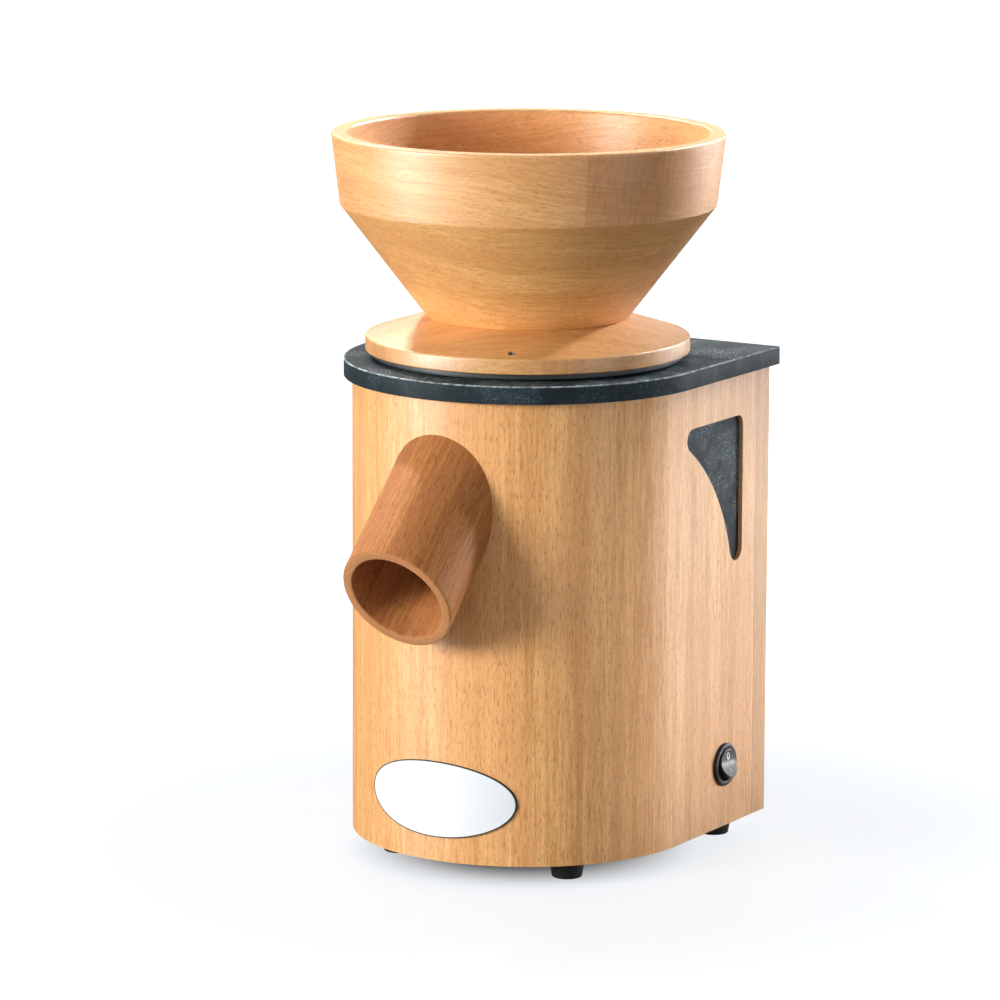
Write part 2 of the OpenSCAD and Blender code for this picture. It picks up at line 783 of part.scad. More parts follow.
module stator_core() {
    color(laminate) on_mill() difference() {
        translate([0, 0, z_stack]) linear_extrude(stack_h) stack_outline();
        translate([0, 0, z_stack - cut]) cylinder(r = stator_bore, h = stack_h + 2 * cut);
        for (a = [0 : 90 : 270]) rotate(a) {
            translate([bolt_at, bolt_at, z_stack - cut]) cylinder(r = bolt_r + thread_gap, h = stack_h + 2 * cut);
            // shallow weld grooves down the sides
            translate([-3, stator_w / 2 - 1.5, z_stack - cut]) cube([6, stator_w, stack_h + 2 * cut]);
        }
        for (a = [0 : 30 : 330]) rotate(a + 15)
            translate([stator_bore + 3, -2, z_stack - cut]) cube([slot_l, 4, stack_h + 2 * cut]);
    }
}

// Windings: a rounded ring on each face of the stack, joined through its slots
module stator_windings() {
    color(copper) on_mill() {
        for (end = [0, 1]) translate([0, 0, z_stack + end * stack_h]) mirror([0, 0, 1 - end])
            rotate_extrude() winding_section();
        for (a = [0 : 30 : 330]) rotate(a + 15)
            translate([stator_bore + 3 + slip, -2 + slip, z_stack]) cube([slot_l - 2 * slip, 4 - 2 * slip, stack_h]);
    }
}

module winding_section() {
    translate([winding_ring - winding_r, 0]) square([2 * winding_r, winding_h - winding_r]);
    intersection() {
        translate([winding_ring, winding_h - winding_r]) circle(winding_r);
        translate([0, 0]) square(big);
    }
}

module stator_bolts() {
    color(steel) on_mill() for (a = [0 : 90 : 270]) rotate(a) translate([bolt_at, bolt_at, z_motor_low - 4])
        screw(bolt_r, stack_h + 2 * shield_h - 8, bolt_r + 1.8, 4);
}

// A ball bearing with its shields set back between the rings
module bearing() {
    rotate_extrude() difference() {
        translate([shaft_r + seal_gap, 0]) square([bearing_r - shaft_r - seal_gap, bearing_t]);
        for (z = [-1, bearing_t - 1]) translate([shaft_r + 3, z]) square([bearing_r - shaft_r - 6, 2]);
    }
}

module upper_bearing() {
    color(steel) on_mill() translate([0, 0, z_floor - bearing_seat - bearing_t]) bearing();
}

module lower_bearing() {
    color(steel) on_mill() translate([0, 0, z_motor_low + bearing_seat]) bearing();
}

// The run capacitor stands in a cup screwed to the bottom board
module capacitor() {
    color(white) on_mill() translate([cap_x, cap_y, z_board + cup_wall]) {
        rotate_extrude() polygon([
            [0, 0], [cap_r - 1, 0], [cap_r, 1], [cap_r, cap_h - 3], [cap_r - 1.5, cap_h - 1],
            [cap_r - 3, cap_h - 1], [cap_r - 3, cap_h - 2], [0, cap_h - 2]
        ]);
        for (x = [-4, 4]) translate([x - cap_tab[0] / 2, -cap_tab[1] / 2, cap_h - 2]) cube(cap_tab);
    }
}

module capacitor_clip() {
    color(black_plastic) on_mill() translate([cap_x, cap_y, z_board]) difference() {
        union() {
            translate([0, 0, -stud_l]) cylinder(r = stud_r, h = stud_l + 1);
            cylinder(r = cap_r + cup_wall, h = cup_h);
        }
        translate([0, 0, cup_wall]) cylinder(r = cap_r + slip, h = cup_h);
    }
}

// Rocker switch at the right: children have +Z out of the wall, from the rocker's pivot
module at_switch() translate([pivot_x, switch_y, switch_z]) rotate([0, 90, 0]) children();

module switch_body() {
    out = body_r - pivot_x;
    color(black_plastic) on_mill() at_switch() difference() {
        union() {
            translate([0, 0, out]) rotate_extrude() polygon([
                [0, 0], [bezel_r, 0], [bezel_r, bezel_t - 1], [bezel_r - 1, bezel_t], [0, bezel_t]
            ]);
            translate([0, 0, out - switch_depth]) cylinder(r = barrel_r, h = switch_depth);
        }
        translate([0, 0, -pocket_depth]) cylinder(r = mouth_r, h = pocket_depth + bezel_r);
        rotate([90, 0, 0]) cylinder(r = trunnion_r + seal_gap, h = 2 * (trunnion_end + slip), center = true);
    }
}

module switch_terminals() {
    color(steel) on_mill() at_switch() for (x = [-1, 0, 1])
        translate([6 * x - 0.4, -3.15, body_r - pivot_x - switch_depth - terminal_l]) cube([0.8, 6.3, terminal_l]);
}

// The lead from the switch, through an air slot of the lower shield
module motor_lead() {
    start = [body_r - switch_depth - terminal_l, switch_y, switch_z];
    slot = [stator_w / 2 + 2 * lead_r, 2 * slot_pitch, z_motor_low + shield_h / 2];
    reach = [lead_bend, 0, 0];
    path = concat([start], bezier(start - reach / 7, start - reach, slot + reach, slot, 12), [slot - reach]);
    color(black_plastic) on_mill() tube(path, lead_r, 8);
}

// Points of a cubic curve that leaves p0 towards p1 and reaches p3 from p2
function bezier(p0, p1, p2, p3, n) =
    [for (i = [0 : n]) let (t = i / n, u = 1 - t)
        u * u * u * p0 + 3 * u * u * t * p1 + 3 * u * t * t * p2 + t * t * t * p3];

module motor_shaft() {
    color(steel) on_mill() translate([0, 0, z_shaft]) rotate_extrude() polygon([
        [0, 0], [shaft_r - 0.5, 0], [shaft_r, 0.5],
        [shaft_r, z_stack - rotor_over - z_shaft], [shaft_mid_r, z_stack - rotor_over - z_shaft],
        [shaft_mid_r, z_stack + stack_h + rotor_over - z_shaft], [shaft_r, z_stack + stack_h + rotor_over - z_shaft],
        [shaft_r, z_sweep - z_shaft], [shaft_top_r, z_sweep - z_shaft],
        [shaft_top_r, z_mill - 1.5 - z_shaft], [shaft_top_r - 1, z_mill - 0.5 - z_shaft], [0, z_mill - 0.5 - z_shaft]
    ]);
}

// Laminated rotor with a cast ring at each end
module rotor_core() {
    color(laminate) on_mill() translate([0, 0, z_stack - rotor_over]) rotate_extrude() polygon([
        [shaft_mid_r, 0], [rotor_r - 5, 0], [rotor_r - 3, rotor_over], [rotor_r, rotor_over],
        [rotor_r, stack_h + rotor_over], [rotor_r - 3, stack_h + rotor_over],
        [rotor_r - 5, stack_h + 2 * rotor_over], [shaft_mid_r, stack_h + 2 * rotor_over]
    ]);
}

module cooling_fan() {
    color(black_plastic) on_mill() translate([0, 0, z_fan]) difference() {
        union() {
            cylinder(r = shaft_r + 4, h = fan_h);
            translate([0, 0, fan_h - fan_t]) cylinder(r = fan_r, h = fan_t);
            for (i = [0 : fan_blades - 1]) rotate(360 * i / fan_blades)
                translate([shaft_r + 2, -1, 0]) cube([fan_r - shaft_r - 3, 2, fan_h]);
        }
        translate([0, 0, -cut]) cylinder(r = shaft_r, h = fan_h + 2 * cut);
    }
}

// Keyed disc under the lower stone; its arms sweep the flour round to the nozzle
module stone_hub() {
    color(cast_alloy) on_mill() difference() {
        union() {
            translate([0, 0, z_sweep]) cylinder(r = hub_boss_r, h = blade_t);
            translate([0, 0, z_hub]) cylinder(r = hub_r, h = hub_t);
            translate([0, 0, z_stone_low]) cylinder(r = spigot_r, h = stone_web - 0.5);
            for (a = [0 : 90 : 270]) rotate(a) translate([0, -3, z_sweep]) cube([chamber_r - sweep_gap, 6, blade_t]);
        }
        translate([0, 0, z_sweep - cut]) cylinder(r = shaft_top_r, h = z_stone_up - z_sweep);
    }
}

// Furrows slant away from the eye and run out before the stone's rim; the face is at z = 0
module furrow_cuts() {
    length = stone_r - eye_r - rim_land;
    for (i = [0 : furrows - 1]) rotate(360 * i / furrows) translate([0, furrow_offset, 0])
        translate([eye_r - 4, 0, -furrow_depth]) rotate([0, -atan2(furrow_depth, length + 4), 0])
            cube([length + 10, furrow_w, 2 * furrow_depth + 2]);
}

module lower_stone() {
    color(corundum) on_mill() translate([0, 0, z_stone_low]) difference() {
        cylinder(r = stone_r, h = stone_t);
        translate([0, 0, -cut]) cylinder(r = spigot_r + slip, h = stone_t);
        translate([0, 0, stone_web]) cylinder(r = eye_r - 1, h = stone_t);
        translate([0, 0, stone_t]) furrow_cuts();
    }
}

module hub_nut() {
    color(steel) on_mill() translate([0, 0, z_stone_low + stone_web]) difference() {
        union() {
            cylinder(r = eye_r - 3, h = washer_t);
            translate([0, 0, washer_t]) cylinder(r = nut_r, h = nut_h, $fn = 6);
        }
        translate([0, 0, -cut]) cylinder(r = shaft_top_r, h = stone_t);
    }
}

module upper_stone() {
    color(corundum) on_mill() translate([0, 0, z_stone_up]) difference() {
        cylinder(r = stone_r, h = stone_t);
        translate([0, 0, -cut]) cylinder(r = eye_r, h = stone_t + 2 * cut);
        mirror([0, 0, 1]) furrow_cuts();
        for (a = stone_screw_angles) rotate(a) translate([stone_screw_ring, 0, stone_t - stone_screw_bite])
            cylinder(r = 1.5 + thread_gap, h = stone_screw_bite + cut);
    }
}

// The disc that holds the upper stone and rides up and down on the guide pins
module stone_carrier() {
    color(cast_alloy) on_mill() difference() {
        union() {
            translate([0, 0, z_carrier]) cylinder(r = carrier_r, h = carrier_t);
            translate([0, 0, z_carrier - rim_h]) cylinder(r = stone_r + rim_wall, h = rim_h + cut);
        }
        translate([0, 0, z_carrier - big]) cylinder(r = stone_r + slip, h = big);
        translate([0, 0, z_carrier - cut]) cylinder(r = eye_r, h = carrier_t + 2 * cut);
        pin_places() translate([0, 0, z_carrier - cut]) cylinder(r = pin_r + 0.15, h = carrier_t + 2 * cut);
        for (a = stone_screw_angles) rotate(a) translate([stone_screw_ring, 0, 0]) {
            translate([0, 0, z_carrier - cut]) cylinder(r = 1.5 + thread_gap, h = carrier_t + 2 * cut);
            translate([0, 0, z_thrust - 2]) cylinder(r = 3 + thread_gap, h = 2 + cut);
        }
    }
}

module stone_screws() {
    color(steel) on_mill() for (a = stone_screw_angles) rotate(a) translate([stone_screw_ring, 0, z_thrust])
        mirror([0, 0, 1]) screw(1.5, carrier_t - 2 + stone_screw_bite - 0.5, 3, 2);
}

// Section of the turned bowl: a spigot, a cone, a rounded break and a nearly upright band
module bowl_section() {
    cone_in = (kink_r - bowl_wall - neck_in_r) / cone_h;
    difference() {
        polygon([
            [0, z_neck - spigot_h], [spigot_bowl_r, z_neck - spigot_h], [spigot_bowl_r, z_neck], [neck_r, z_neck],
            [kink_r, z_kink], [rim_r, z_rim - rim_edge], [rim_r - rim_edge, z_rim], [0, z_rim]
        ]);
        polygon(concat(
            [[0, z_neck - spigot_h - cut], [neck_in_r - cone_in * (spigot_h + cut), z_neck - spigot_h - cut]],
            inner_bend(),
            [[rim_r - rim_t, z_rim - rim_edge], [rim_r - rim_t + rim_edge + cut, z_rim + cut], [0, z_rim + cut]]
        ));
    }
}

// The bowl is glued up from two layers, which meet at the break
module hopper_bowl() {
    color(beech) on_mill() rotate_extrude() intersection() {
        bowl_section();
        square([big, z_kink]);
    }
}

module hopper_band() {
    color(beech) on_mill() rotate_extrude() intersection() {
        bowl_section();
        translate([0, z_kink]) square([big, band_h]);
    }
}

// Points of the round break inside the bowl, tangent to the inner cone and the inner band
function inner_bend() =
    let (
        low = [kink_r - bowl_wall, z_kink],
        down = unit([neck_in_r - low[0], z_neck - low[1]]),
        up = unit([rim_r - rim_t - low[0], z_rim - low[1]]),
        half = acos(down * up) / 2,
        back = kink_round / tan(half),
        centre = low + unit(down + up) * kink_round / sin(half),
        a0 = heading(centre, low + back * down),
        a1 = heading(centre, low + back * up)
    )
    arc(centre, kink_round, a0, a1, 8);

function unit(v) = v / norm(v);

// The base disc under the bowl, with the funnel to the throat
module hopper_base() {
    color(beech) on_mill() difference() {
        translate([0, 0, z_base]) rotate_extrude() polygon([
            [0, 0], [base_r - 0.8, 0], [base_r, 0.8], [base_r, base_edge_t - 1], [base_r - 1, base_edge_t],
            [neck_r, base_edge_t + base_rise], [0, base_edge_t + base_rise]
        ]);
        translate([0, 0, z_neck - spigot_h]) cylinder(r = spigot_bowl_r + slip, h = spigot_h + cut);
        translate([0, 0, z_base - cut]) cylinder(r = throat_r, h = base_edge_t + base_rise + cut);
        translate([0, 0, z_base + throat_h])
            cylinder(r1 = throat_r, r2 = neck_in_low, h = z_neck - spigot_h - z_base - throat_h);
        rotate(mark_angle - 90) translate([mark_r, 0, z_base_edge - 2]) cylinder(r = mark_hole_r, h = big);
        for (a = [45 : 90 : 315]) rotate(a) translate([collar_screw_ring, 0, z_base - cut])
            cylinder(r = collar_bolt_r + thread_gap, h = collar_bite + cut);
    }
}

// Threaded skirt and feed tube under the hopper; the skirt turns in the chamber's wall
module adjusting_collar() {
    flange_z = z_base - collar_flange_t;
    color(black_plastic) on_mill() difference() {
        union() {
            translate([0, 0, flange_z]) cylinder(r = collar_r, h = collar_flange_t);
            translate([0, 0, z_thrust + run]) ring(skirt_r, skirt_r - skirt_t, flange_z - z_thrust - run + cut);
            translate([0, 0, z_thrust + run]) cylinder(r = throat_r + tube_wall, h = flange_z - z_thrust - run + cut);
            // ribs between the feed tube and the skirt
            intersection() {
                translate([0, 0, flange_z - rib_h]) cylinder(r = skirt_r - 1, h = rib_h + cut);
                for (a = [0 : 60 : 120]) rotate(a) translate([-big / 2, -1.5, flange_z - rib_h]) cube([big, 3, rib_h + cut]);
            }
        }
        translate([0, 0, z_thrust]) cylinder(r = throat_r, h = big);
        for (a = [45 : 90 : 315]) rotate(a) translate([collar_screw_ring, 0, 0]) {
            translate([0, 0, flange_z - cut]) cylinder(r = collar_bolt_r + thread_gap, h = collar_flange_t + 2 * cut);
            translate([0, 0, flange_z - cut]) cylinder(r = collar_head_r + thread_gap, h = collar_head_h + cut);
        }
    }
}

module collar_screws() {
    color(steel) on_mill() for (a = [45 : 90 : 315]) rotate(a)
        translate([collar_screw_ring, 0, z_base - collar_flange_t])
            screw(collar_bolt_r, collar_flange_t - collar_head_h + collar_bite - 0.5, collar_head_r, collar_head_h);
}

// The rocker, with its upper "off" end pressed in: two pressing faces meet in a shallow valley
module switch_rocker() {
    rise = rocker_end_r * tan(rocker_tilt);
    color(black_plastic) on_mill() at_switch() rotate([0, -rocker_tilt, 0]) {
        intersection() {
            translate([0, 0, -rocker_back]) cylinder(r = rocker_r, h = big);
            rotate([90, 0, 0]) cylinder(r = rocker_end_r, h = big, center = true);
            rotate([90, 0, 0]) translate([0, 0, -big / 2]) linear_extrude(big) polygon([
                [-rocker_end_r, -rocker_back], [rocker_end_r, -rocker_back],
                [rocker_end_r, face_out + rise], [0, face_out], [-rocker_end_r, face_out + rise]
            ]);
        }
        rotate([90, 0, 0]) cylinder(r = trunnion_r, h = 2 * trunnion_end, center = true);
    }
}

housing_shell();
back_panel();
panel_dowels();
top_plate();
bottom_board();
tie_rods();
foot(0);  // foot_front_left
foot(1);  // foot_front_right
foot(2);  // foot_rear_left
foot(3);  // foot_rear_right
foot_screws();
spout();
spout_seal();
badge_plate();
inlay(1);  // inlay_right
inlay(-1);  // inlay_left
inlay_screws();
milling_chamber();
chamber_screws();
guide_pins();
carrier_springs();
shaft_seal();
motor_top_shield();
motor_bottom_shield();
motor_screws();
stator_core();
stator_windings();
stator_bolts();
upper_bearing();
lower_bearing();
capacitor();
capacitor_clip();
switch_body();
switch_terminals();
motor_lead();
cable_bushing();
motor_shaft();
rotor_core();
cooling_fan();
stone_hub();
lower_stone();
hub_nut();
stone_carrier();
upper_stone();
stone_screws();
hopper_bowl();
hopper_band();
hopper_base();
adjusting_collar();
collar_screws();
switch_rocker();
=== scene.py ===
import json
import math

import bmesh
import bpy
import numpy as np
from mathutils import Matrix, Vector


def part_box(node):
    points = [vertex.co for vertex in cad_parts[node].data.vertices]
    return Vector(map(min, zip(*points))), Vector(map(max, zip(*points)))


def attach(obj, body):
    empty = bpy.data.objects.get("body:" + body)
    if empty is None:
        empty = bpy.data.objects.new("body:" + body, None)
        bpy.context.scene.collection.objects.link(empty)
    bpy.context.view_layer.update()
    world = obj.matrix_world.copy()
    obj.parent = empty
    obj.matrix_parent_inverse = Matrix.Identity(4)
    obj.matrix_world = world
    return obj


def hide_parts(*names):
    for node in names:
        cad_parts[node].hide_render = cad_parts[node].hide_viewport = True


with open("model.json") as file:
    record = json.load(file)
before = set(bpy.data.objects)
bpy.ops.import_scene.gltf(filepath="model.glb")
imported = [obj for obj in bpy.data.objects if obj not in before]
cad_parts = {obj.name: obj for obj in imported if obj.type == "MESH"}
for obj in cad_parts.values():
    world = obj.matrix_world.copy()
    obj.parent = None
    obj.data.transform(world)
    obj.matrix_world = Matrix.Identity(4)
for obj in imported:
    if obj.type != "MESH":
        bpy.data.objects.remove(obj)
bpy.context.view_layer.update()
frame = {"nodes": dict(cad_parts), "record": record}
scene = bpy.context.scene
nodes = frame["nodes"]


def boxOf(node):
    low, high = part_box(node)
    return np.array(low), np.array(high)


baseLow, baseHigh = boxOf("hopper_base")
bandLow, bandHigh = boxOf("hopper_band")
plateLow, plateHigh = boxOf("top_plate")
# the upright axis that stones, hopper and motor share, as a point on the floor
millAxis = np.array([*(baseLow[:2] + baseHigh[:2]) / 2, 0.0])

print("camera")
camera = {
    "place": (1.5939, -2.6663, 0.8016),  # metres
    "azimuth": 30.936,  # degrees round from the spout's side
    "down": 10.773,
    "roll": 0.228,
    "lens": 196.95,  # mm on a 36 mm sensor
}


def placeCamera(settings):
    cameraData = bpy.data.cameras.new("camera")
    cameraData.lens = settings["lens"]
    cameraData.sensor_width = 36.0
    cameraData.clip_end = 50.0
    cameraObject = bpy.data.objects.new("camera", cameraData)
    turn = Matrix.Rotation(math.radians(settings["azimuth"]), 4, "Z")
    tip = Matrix.Rotation(math.radians(90 - settings["down"]), 4, "X")
    roll = Matrix.Rotation(math.radians(settings["roll"]), 4, "Z")
    cameraObject.matrix_world = Matrix.Translation(settings["place"]) @ turn @ tip @ roll
    scene.collection.objects.link(cameraObject)
    scene.camera = cameraObject


placeCamera(camera)

print("finishes")


def startFinish(name, roughness=0.5, metallic=0.0, shine=0.5):
    finish = bpy.data.materials.new(name)
    finish.use_nodes = True
    shader = finish.node_tree.nodes["Principled BSDF"]
    shader.inputs["Roughness"].default_value = roughness
    shader.inputs["Metallic"].default_value = metallic
    shader.inputs["Specular IOR Level"].default_value = shine
    return finish, finish.node_tree, shader


def addNode(tree, kind, inputs=None, **settings):
    node = tree.nodes.new(kind)
    for key, value in settings.items():
        setattr(node, key, value)
    for key, value in (inputs or {}).items():
        if isinstance(value, bpy.types.NodeSocket):
            tree.links.new(value, node.inputs[key])
        else:
            node.inputs[key].default_value = value
    return node


def sums(tree, operation, first, second=0.0):
    return addNode(tree, "ShaderNodeMath", {0: first, 1: second}, operation=operation).outputs[0]


def ramp(tree, value, low, high, outLow=0.0, outHigh=1.0):
    return addNode(tree, "ShaderNodeMapRange", {
        "Value": value, "From Min": low, "From Max": high, "To Min": outLow, "To Max": outHigh,
    }, interpolation_type="SMOOTHSTEP").outputs[0]


def blendColours(tree, amount, first, second, kind="MIX"):
    mix = addNode(tree, "ShaderNodeMix", {0: amount}, data_type="RGBA", blend_type=kind)
    for slot, colour in ((6, first), (7, second)):
        if isinstance(colour, bpy.types.NodeSocket):
            tree.links.new(colour, mix.inputs[slot])
        else:
            mix.inputs[slot].default_value = (*colour, 1.0)
    return mix.outputs[2]


def noise(tree, vector, scale=1.0, detail=3.0, rough=0.55):
    return addNode(tree, "ShaderNodeTexNoise", {
        "Vector": vector, "Scale": scale, "Detail": detail, "Roughness": rough}).outputs["Fac"]


def bumped(tree, shader, height, strength, distance):
    bump = addNode(tree, "ShaderNodeBump", {"Height": height, "Strength": strength, "Distance": distance})
    tree.links.new(bump.outputs[0], shader.inputs["Normal"])


# grain space runs its Z along the grain. Straight grain is turned by `heading`, the grain's direction
# round from +X, and `fall`, its slope below the level (-90 is upright). Round grain follows the turned
# wall: its coordinates are distance from the axis, height, and radius * angle round the axis
def grainSpace(tree, socket, lay):
    centre = millAxis + np.array(lay.get("shift", (0, 0, 0)))
    moved = addNode(tree, "ShaderNodeMapping", {"Vector": socket, "Location": tuple(-centre)}).outputs[0]
    if "radius" in lay:
        parts = addNode(tree, "ShaderNodeSeparateXYZ", {"Vector": moved}).outputs
        angle = sums(tree, "ARCTAN2", parts[0], sums(tree, "MULTIPLY", parts[1], -1.0))
        level = addNode(tree, "ShaderNodeMapping", {"Vector": moved, "Scale": (1, 1, 0)}).outputs[0]
        reach = addNode(tree, "ShaderNodeVectorMath", {0: level}, operation="LENGTH").outputs["Value"]
        wander = sums(tree, "MULTIPLY", noise(tree, moved, 7.0, 1.0), lay["wander"])
        wander = sums(tree, "ADD", wander, sums(tree, "MULTIPLY", angle, lay["radius"] * lay["climb"]))
        height = sums(tree, "ADD", parts[2], wander)
        arc = sums(tree, "MULTIPLY", angle, lay["radius"])
        return addNode(tree, "ShaderNodeCombineXYZ", {0: reach, 1: height, 2: arc}).outputs[0]
    headed = addNode(tree, "ShaderNodeVectorRotate", {
        "Vector": moved, "Angle": -math.radians(lay["heading"])}, rotation_type="Z_AXIS").outputs[0]
    return addNode(tree, "ShaderNodeMapping", {
        "Vector": headed, "Rotation": (0, -math.radians(90 + lay["fall"]), 0)}).outputs[0]


# one unit every `across` metres across the grain and every `along` metres down it
def stretched(tree, vector, across, along):
    return addNode(tree, "ShaderNodeMapping", {
        "Vector": vector, "Scale": (1 / across, 1 / across, 1 / along)}).outputs[0]


# spindle-shaped rays: the middles of long Voronoi cells, of which a share is kept
def rays(tree, space, gap, length, share):
    cells = addNode(tree, "ShaderNodeTexVoronoi", {
        "Vector": stretched(tree, space, gap, length), "Scale": 1.0})
    chosen = addNode(tree, "ShaderNodeSeparateColor", {"Color": cells.outputs["Color"]}).outputs[0]
    spindle = ramp(tree, cells.outputs["Distance"], 0.1, 0.28, 1.0, 0.0)
    return sums(tree, "MULTIPLY", spindle, ramp(tree, chosen, 0.95 - share, 1.05 - share))


figure = {  # metres across and down the grain; a ray also has the share that is kept
    "bandLength": 0.45, "streak": (0.0016, 0.035), "fibre": (0.0007, 0.012), "hue": (0.017, 0.16),
    "stroke": (0.0006, 0.0046), "ray": (0.0009, 0.0054, 0.26),
    "hair": (0.0011, 0.035), "hairTurn": 48, "hairDepth": 0.28,  # degrees to the grain, and strength
    "blockGrain": (650, 650, 14), "blockLines": 0.45, "blockEdge": 0.003,
}


# beech: broad golden and pink bands, streaks and fibres, and short dark rays, all down the grain
def wood(name, settings, lay, blocks=(), seam=None, dot=None):
    finish, tree, shader = startFinish(name, shine=settings["shine"])
    coords = addNode(tree, "ShaderNodeTexCoord")
    place = coords.outputs["Object"]
    space = grainSpace(tree, place, lay)
    bands = noise(tree, stretched(tree, space, settings["bandWidth"], figure["bandLength"]))
    streaks = noise(tree, stretched(tree, space, *figure["streak"]), detail=2.0)
    fibres = noise(tree, stretched(tree, space, *figure["fibre"]), rough=0.7)
    hue = noise(tree, stretched(tree, space, *figure["hue"]), detail=2.0)
    tone = sums(tree, "ADD", sums(tree, "MULTIPLY", bands, 0.45), sums(tree, "MULTIPLY", streaks, 0.42))
    tone = ramp(tree, sums(tree, "ADD", tone, sums(tree, "MULTIPLY", fibres, 0.45)), 0.5, 0.8)
    colour = blendColours(tree, tone, settings["light"], settings["dark"])
    colour = blendColours(tree, ramp(tree, hue, 0.42, 0.62, 0.0, 0.55), colour, settings["pink"])
    strokes = noise(tree, stretched(tree, space, *figure["stroke"]), detail=1.5)
    strokes = ramp(tree, strokes, 0.54, 0.7)
    bold = rays(tree, space, *figure["ray"])
    dark = sums(tree, "MAXIMUM", sums(tree, "MULTIPLY", strokes, settings["strokeDepth"]),
                sums(tree, "MULTIPLY", bold, settings["rayDepth"]))
    side = addNode(tree, "ShaderNodeSeparateXYZ", {"Vector": coords.outputs["Normal"]}).outputs[0]
    flatSide = ramp(tree, sums(tree, "ABSOLUTE", side), 0.7, 0.97, 1.0, settings["onEdge"])
    dark = sums(tree, "MULTIPLY", dark, flatSide)
    if "radius" in lay:
        # pale hairlines left by sanding across the turned wall
        slanting = addNode(tree, "ShaderNodeVectorRotate", {
            "Vector": space, "Angle": math.radians(figure["hairTurn"])}, rotation_type="X_AXIS").outputs[0]
        hairs = ramp(tree, noise(tree, stretched(tree, slanting, *figure["hair"]), detail=2.0), 0.62, 0.7)
        hairs = sums(tree, "MULTIPLY", hairs, figure["hairDepth"])
        colour = blendColours(tree, hairs, colour, settings["hair"])
    else:
        # end grain has a colour of its own; on the spout the paler end colour is partly end grain, partly a
        # painted highlight on the lip
        facing = grainSpace(tree, coords.outputs["Normal"], dict(lay, shift=tuple(-millAxis)))
        ends = addNode(tree, "ShaderNodeSeparateXYZ", {"Vector": facing}).outputs[2]
        ends = ramp(tree, sums(tree, "ABSOLUTE", ends), 0.62, 0.98, 0.0, settings["endDepth"])
        colour = blendColours(tree, ends, colour, settings["ends"])
    # glued blocks that stand upright in a turned ring, from one angle to another round from the front
    if blocks:
        moved = addNode(tree, "ShaderNodeMapping", {"Vector": place, "Location": tuple(-millAxis)}).outputs[0]
        parts = addNode(tree, "ShaderNodeSeparateXYZ", {"Vector": moved}).outputs
        angle = sums(tree, "ARCTAN2", parts[0], sums(tree, "MULTIPLY", parts[1], -1.0))
        tip = addNode(tree, "ShaderNodeSeparateXYZ", {"Vector": coords.outputs["Normal"]}).outputs[2]
        wall = ramp(tree, sums(tree, "ABSOLUTE", tip), 0.35, 0.6, 1.0, 0.0)
        grain = addNode(tree, "ShaderNodeMapping", {
            "Vector": moved, "Scale": figure["blockGrain"]}).outputs[0]
        lines = ramp(tree, noise(tree, grain, 1.0, 3.0, 0.65), 0.46, 0.68)
        for start, end, amount, tint in blocks:
            start, end = math.radians(start), math.radians(end)
            blur = figure["blockEdge"]
            inside = sums(tree, "MULTIPLY", ramp(tree, angle, start - blur, start + blur),
                          ramp(tree, angle, end - blur, end + blur, 1.0, 0.0))
            inside = sums(tree, "MULTIPLY", inside, wall)
            colour = blendColours(tree, sums(tree, "MULTIPLY", inside, amount), colour, tint, "MULTIPLY")
            lined = sums(tree, "MULTIPLY", inside, lines)
            lined = sums(tree, "MULTIPLY", lined, figure["blockLines"] * amount)
            colour = blendColours(tree, lined, colour, settings["ray"])
            kept = sums(tree, "SUBTRACT", 1.0, sums(tree, "MULTIPLY", inside, 0.6))
            dark = sums(tree, "MULTIPLY", dark, kept)
    colour = blendColours(tree, dark, colour, settings["ray"])
    if seam is not None:
        depth = addNode(tree, "ShaderNodeSeparateXYZ", {"Vector": place}).outputs[1]
        away = sums(tree, "ABSOLUTE", sums(tree, "SUBTRACT", depth, seam))
        near = ramp(tree, away, 0.0001, 0.0005, 0.8, 0.0)
        colour = blendColours(tree, near, colour, settings["ray"])
    # painted shade: the bottom of the drilled grade mark is painted near-black, standing in for the shade
    # inside the hole
    if dot is not None:  # the bottom of a small drilled mark lies in the dark
        plan = addNode(tree, "ShaderNodeMapping", {"Vector": place, "Scale": (1, 1, 0)}).outputs[0]
        far = addNode(tree, "ShaderNodeVectorMath", {0: plan, 1: (dot[0], dot[1], 0)}, operation="DISTANCE")
        paintedHoleShade = ramp(tree, far.outputs["Value"], dot[2] * 0.75, dot[2], 0.97, 0.0)
        colour = blendColours(tree, paintedHoleShade, colour, (0.010, 0.004, 0.002))
    tree.links.new(colour, shader.inputs["Base Color"])
    gloss = settings["gloss"]
    tree.links.new(ramp(tree, fibres, 0.3, 0.7, gloss, gloss + 0.14), shader.inputs["Roughness"])
    relief = sums(tree, "SUBTRACT", sums(tree, "MULTIPLY", fibres, 0.7), sums(tree, "MULTIPLY", dark, 0.6))
    bumped(tree, shader, relief, 0.25, 0.0002)
    return finish
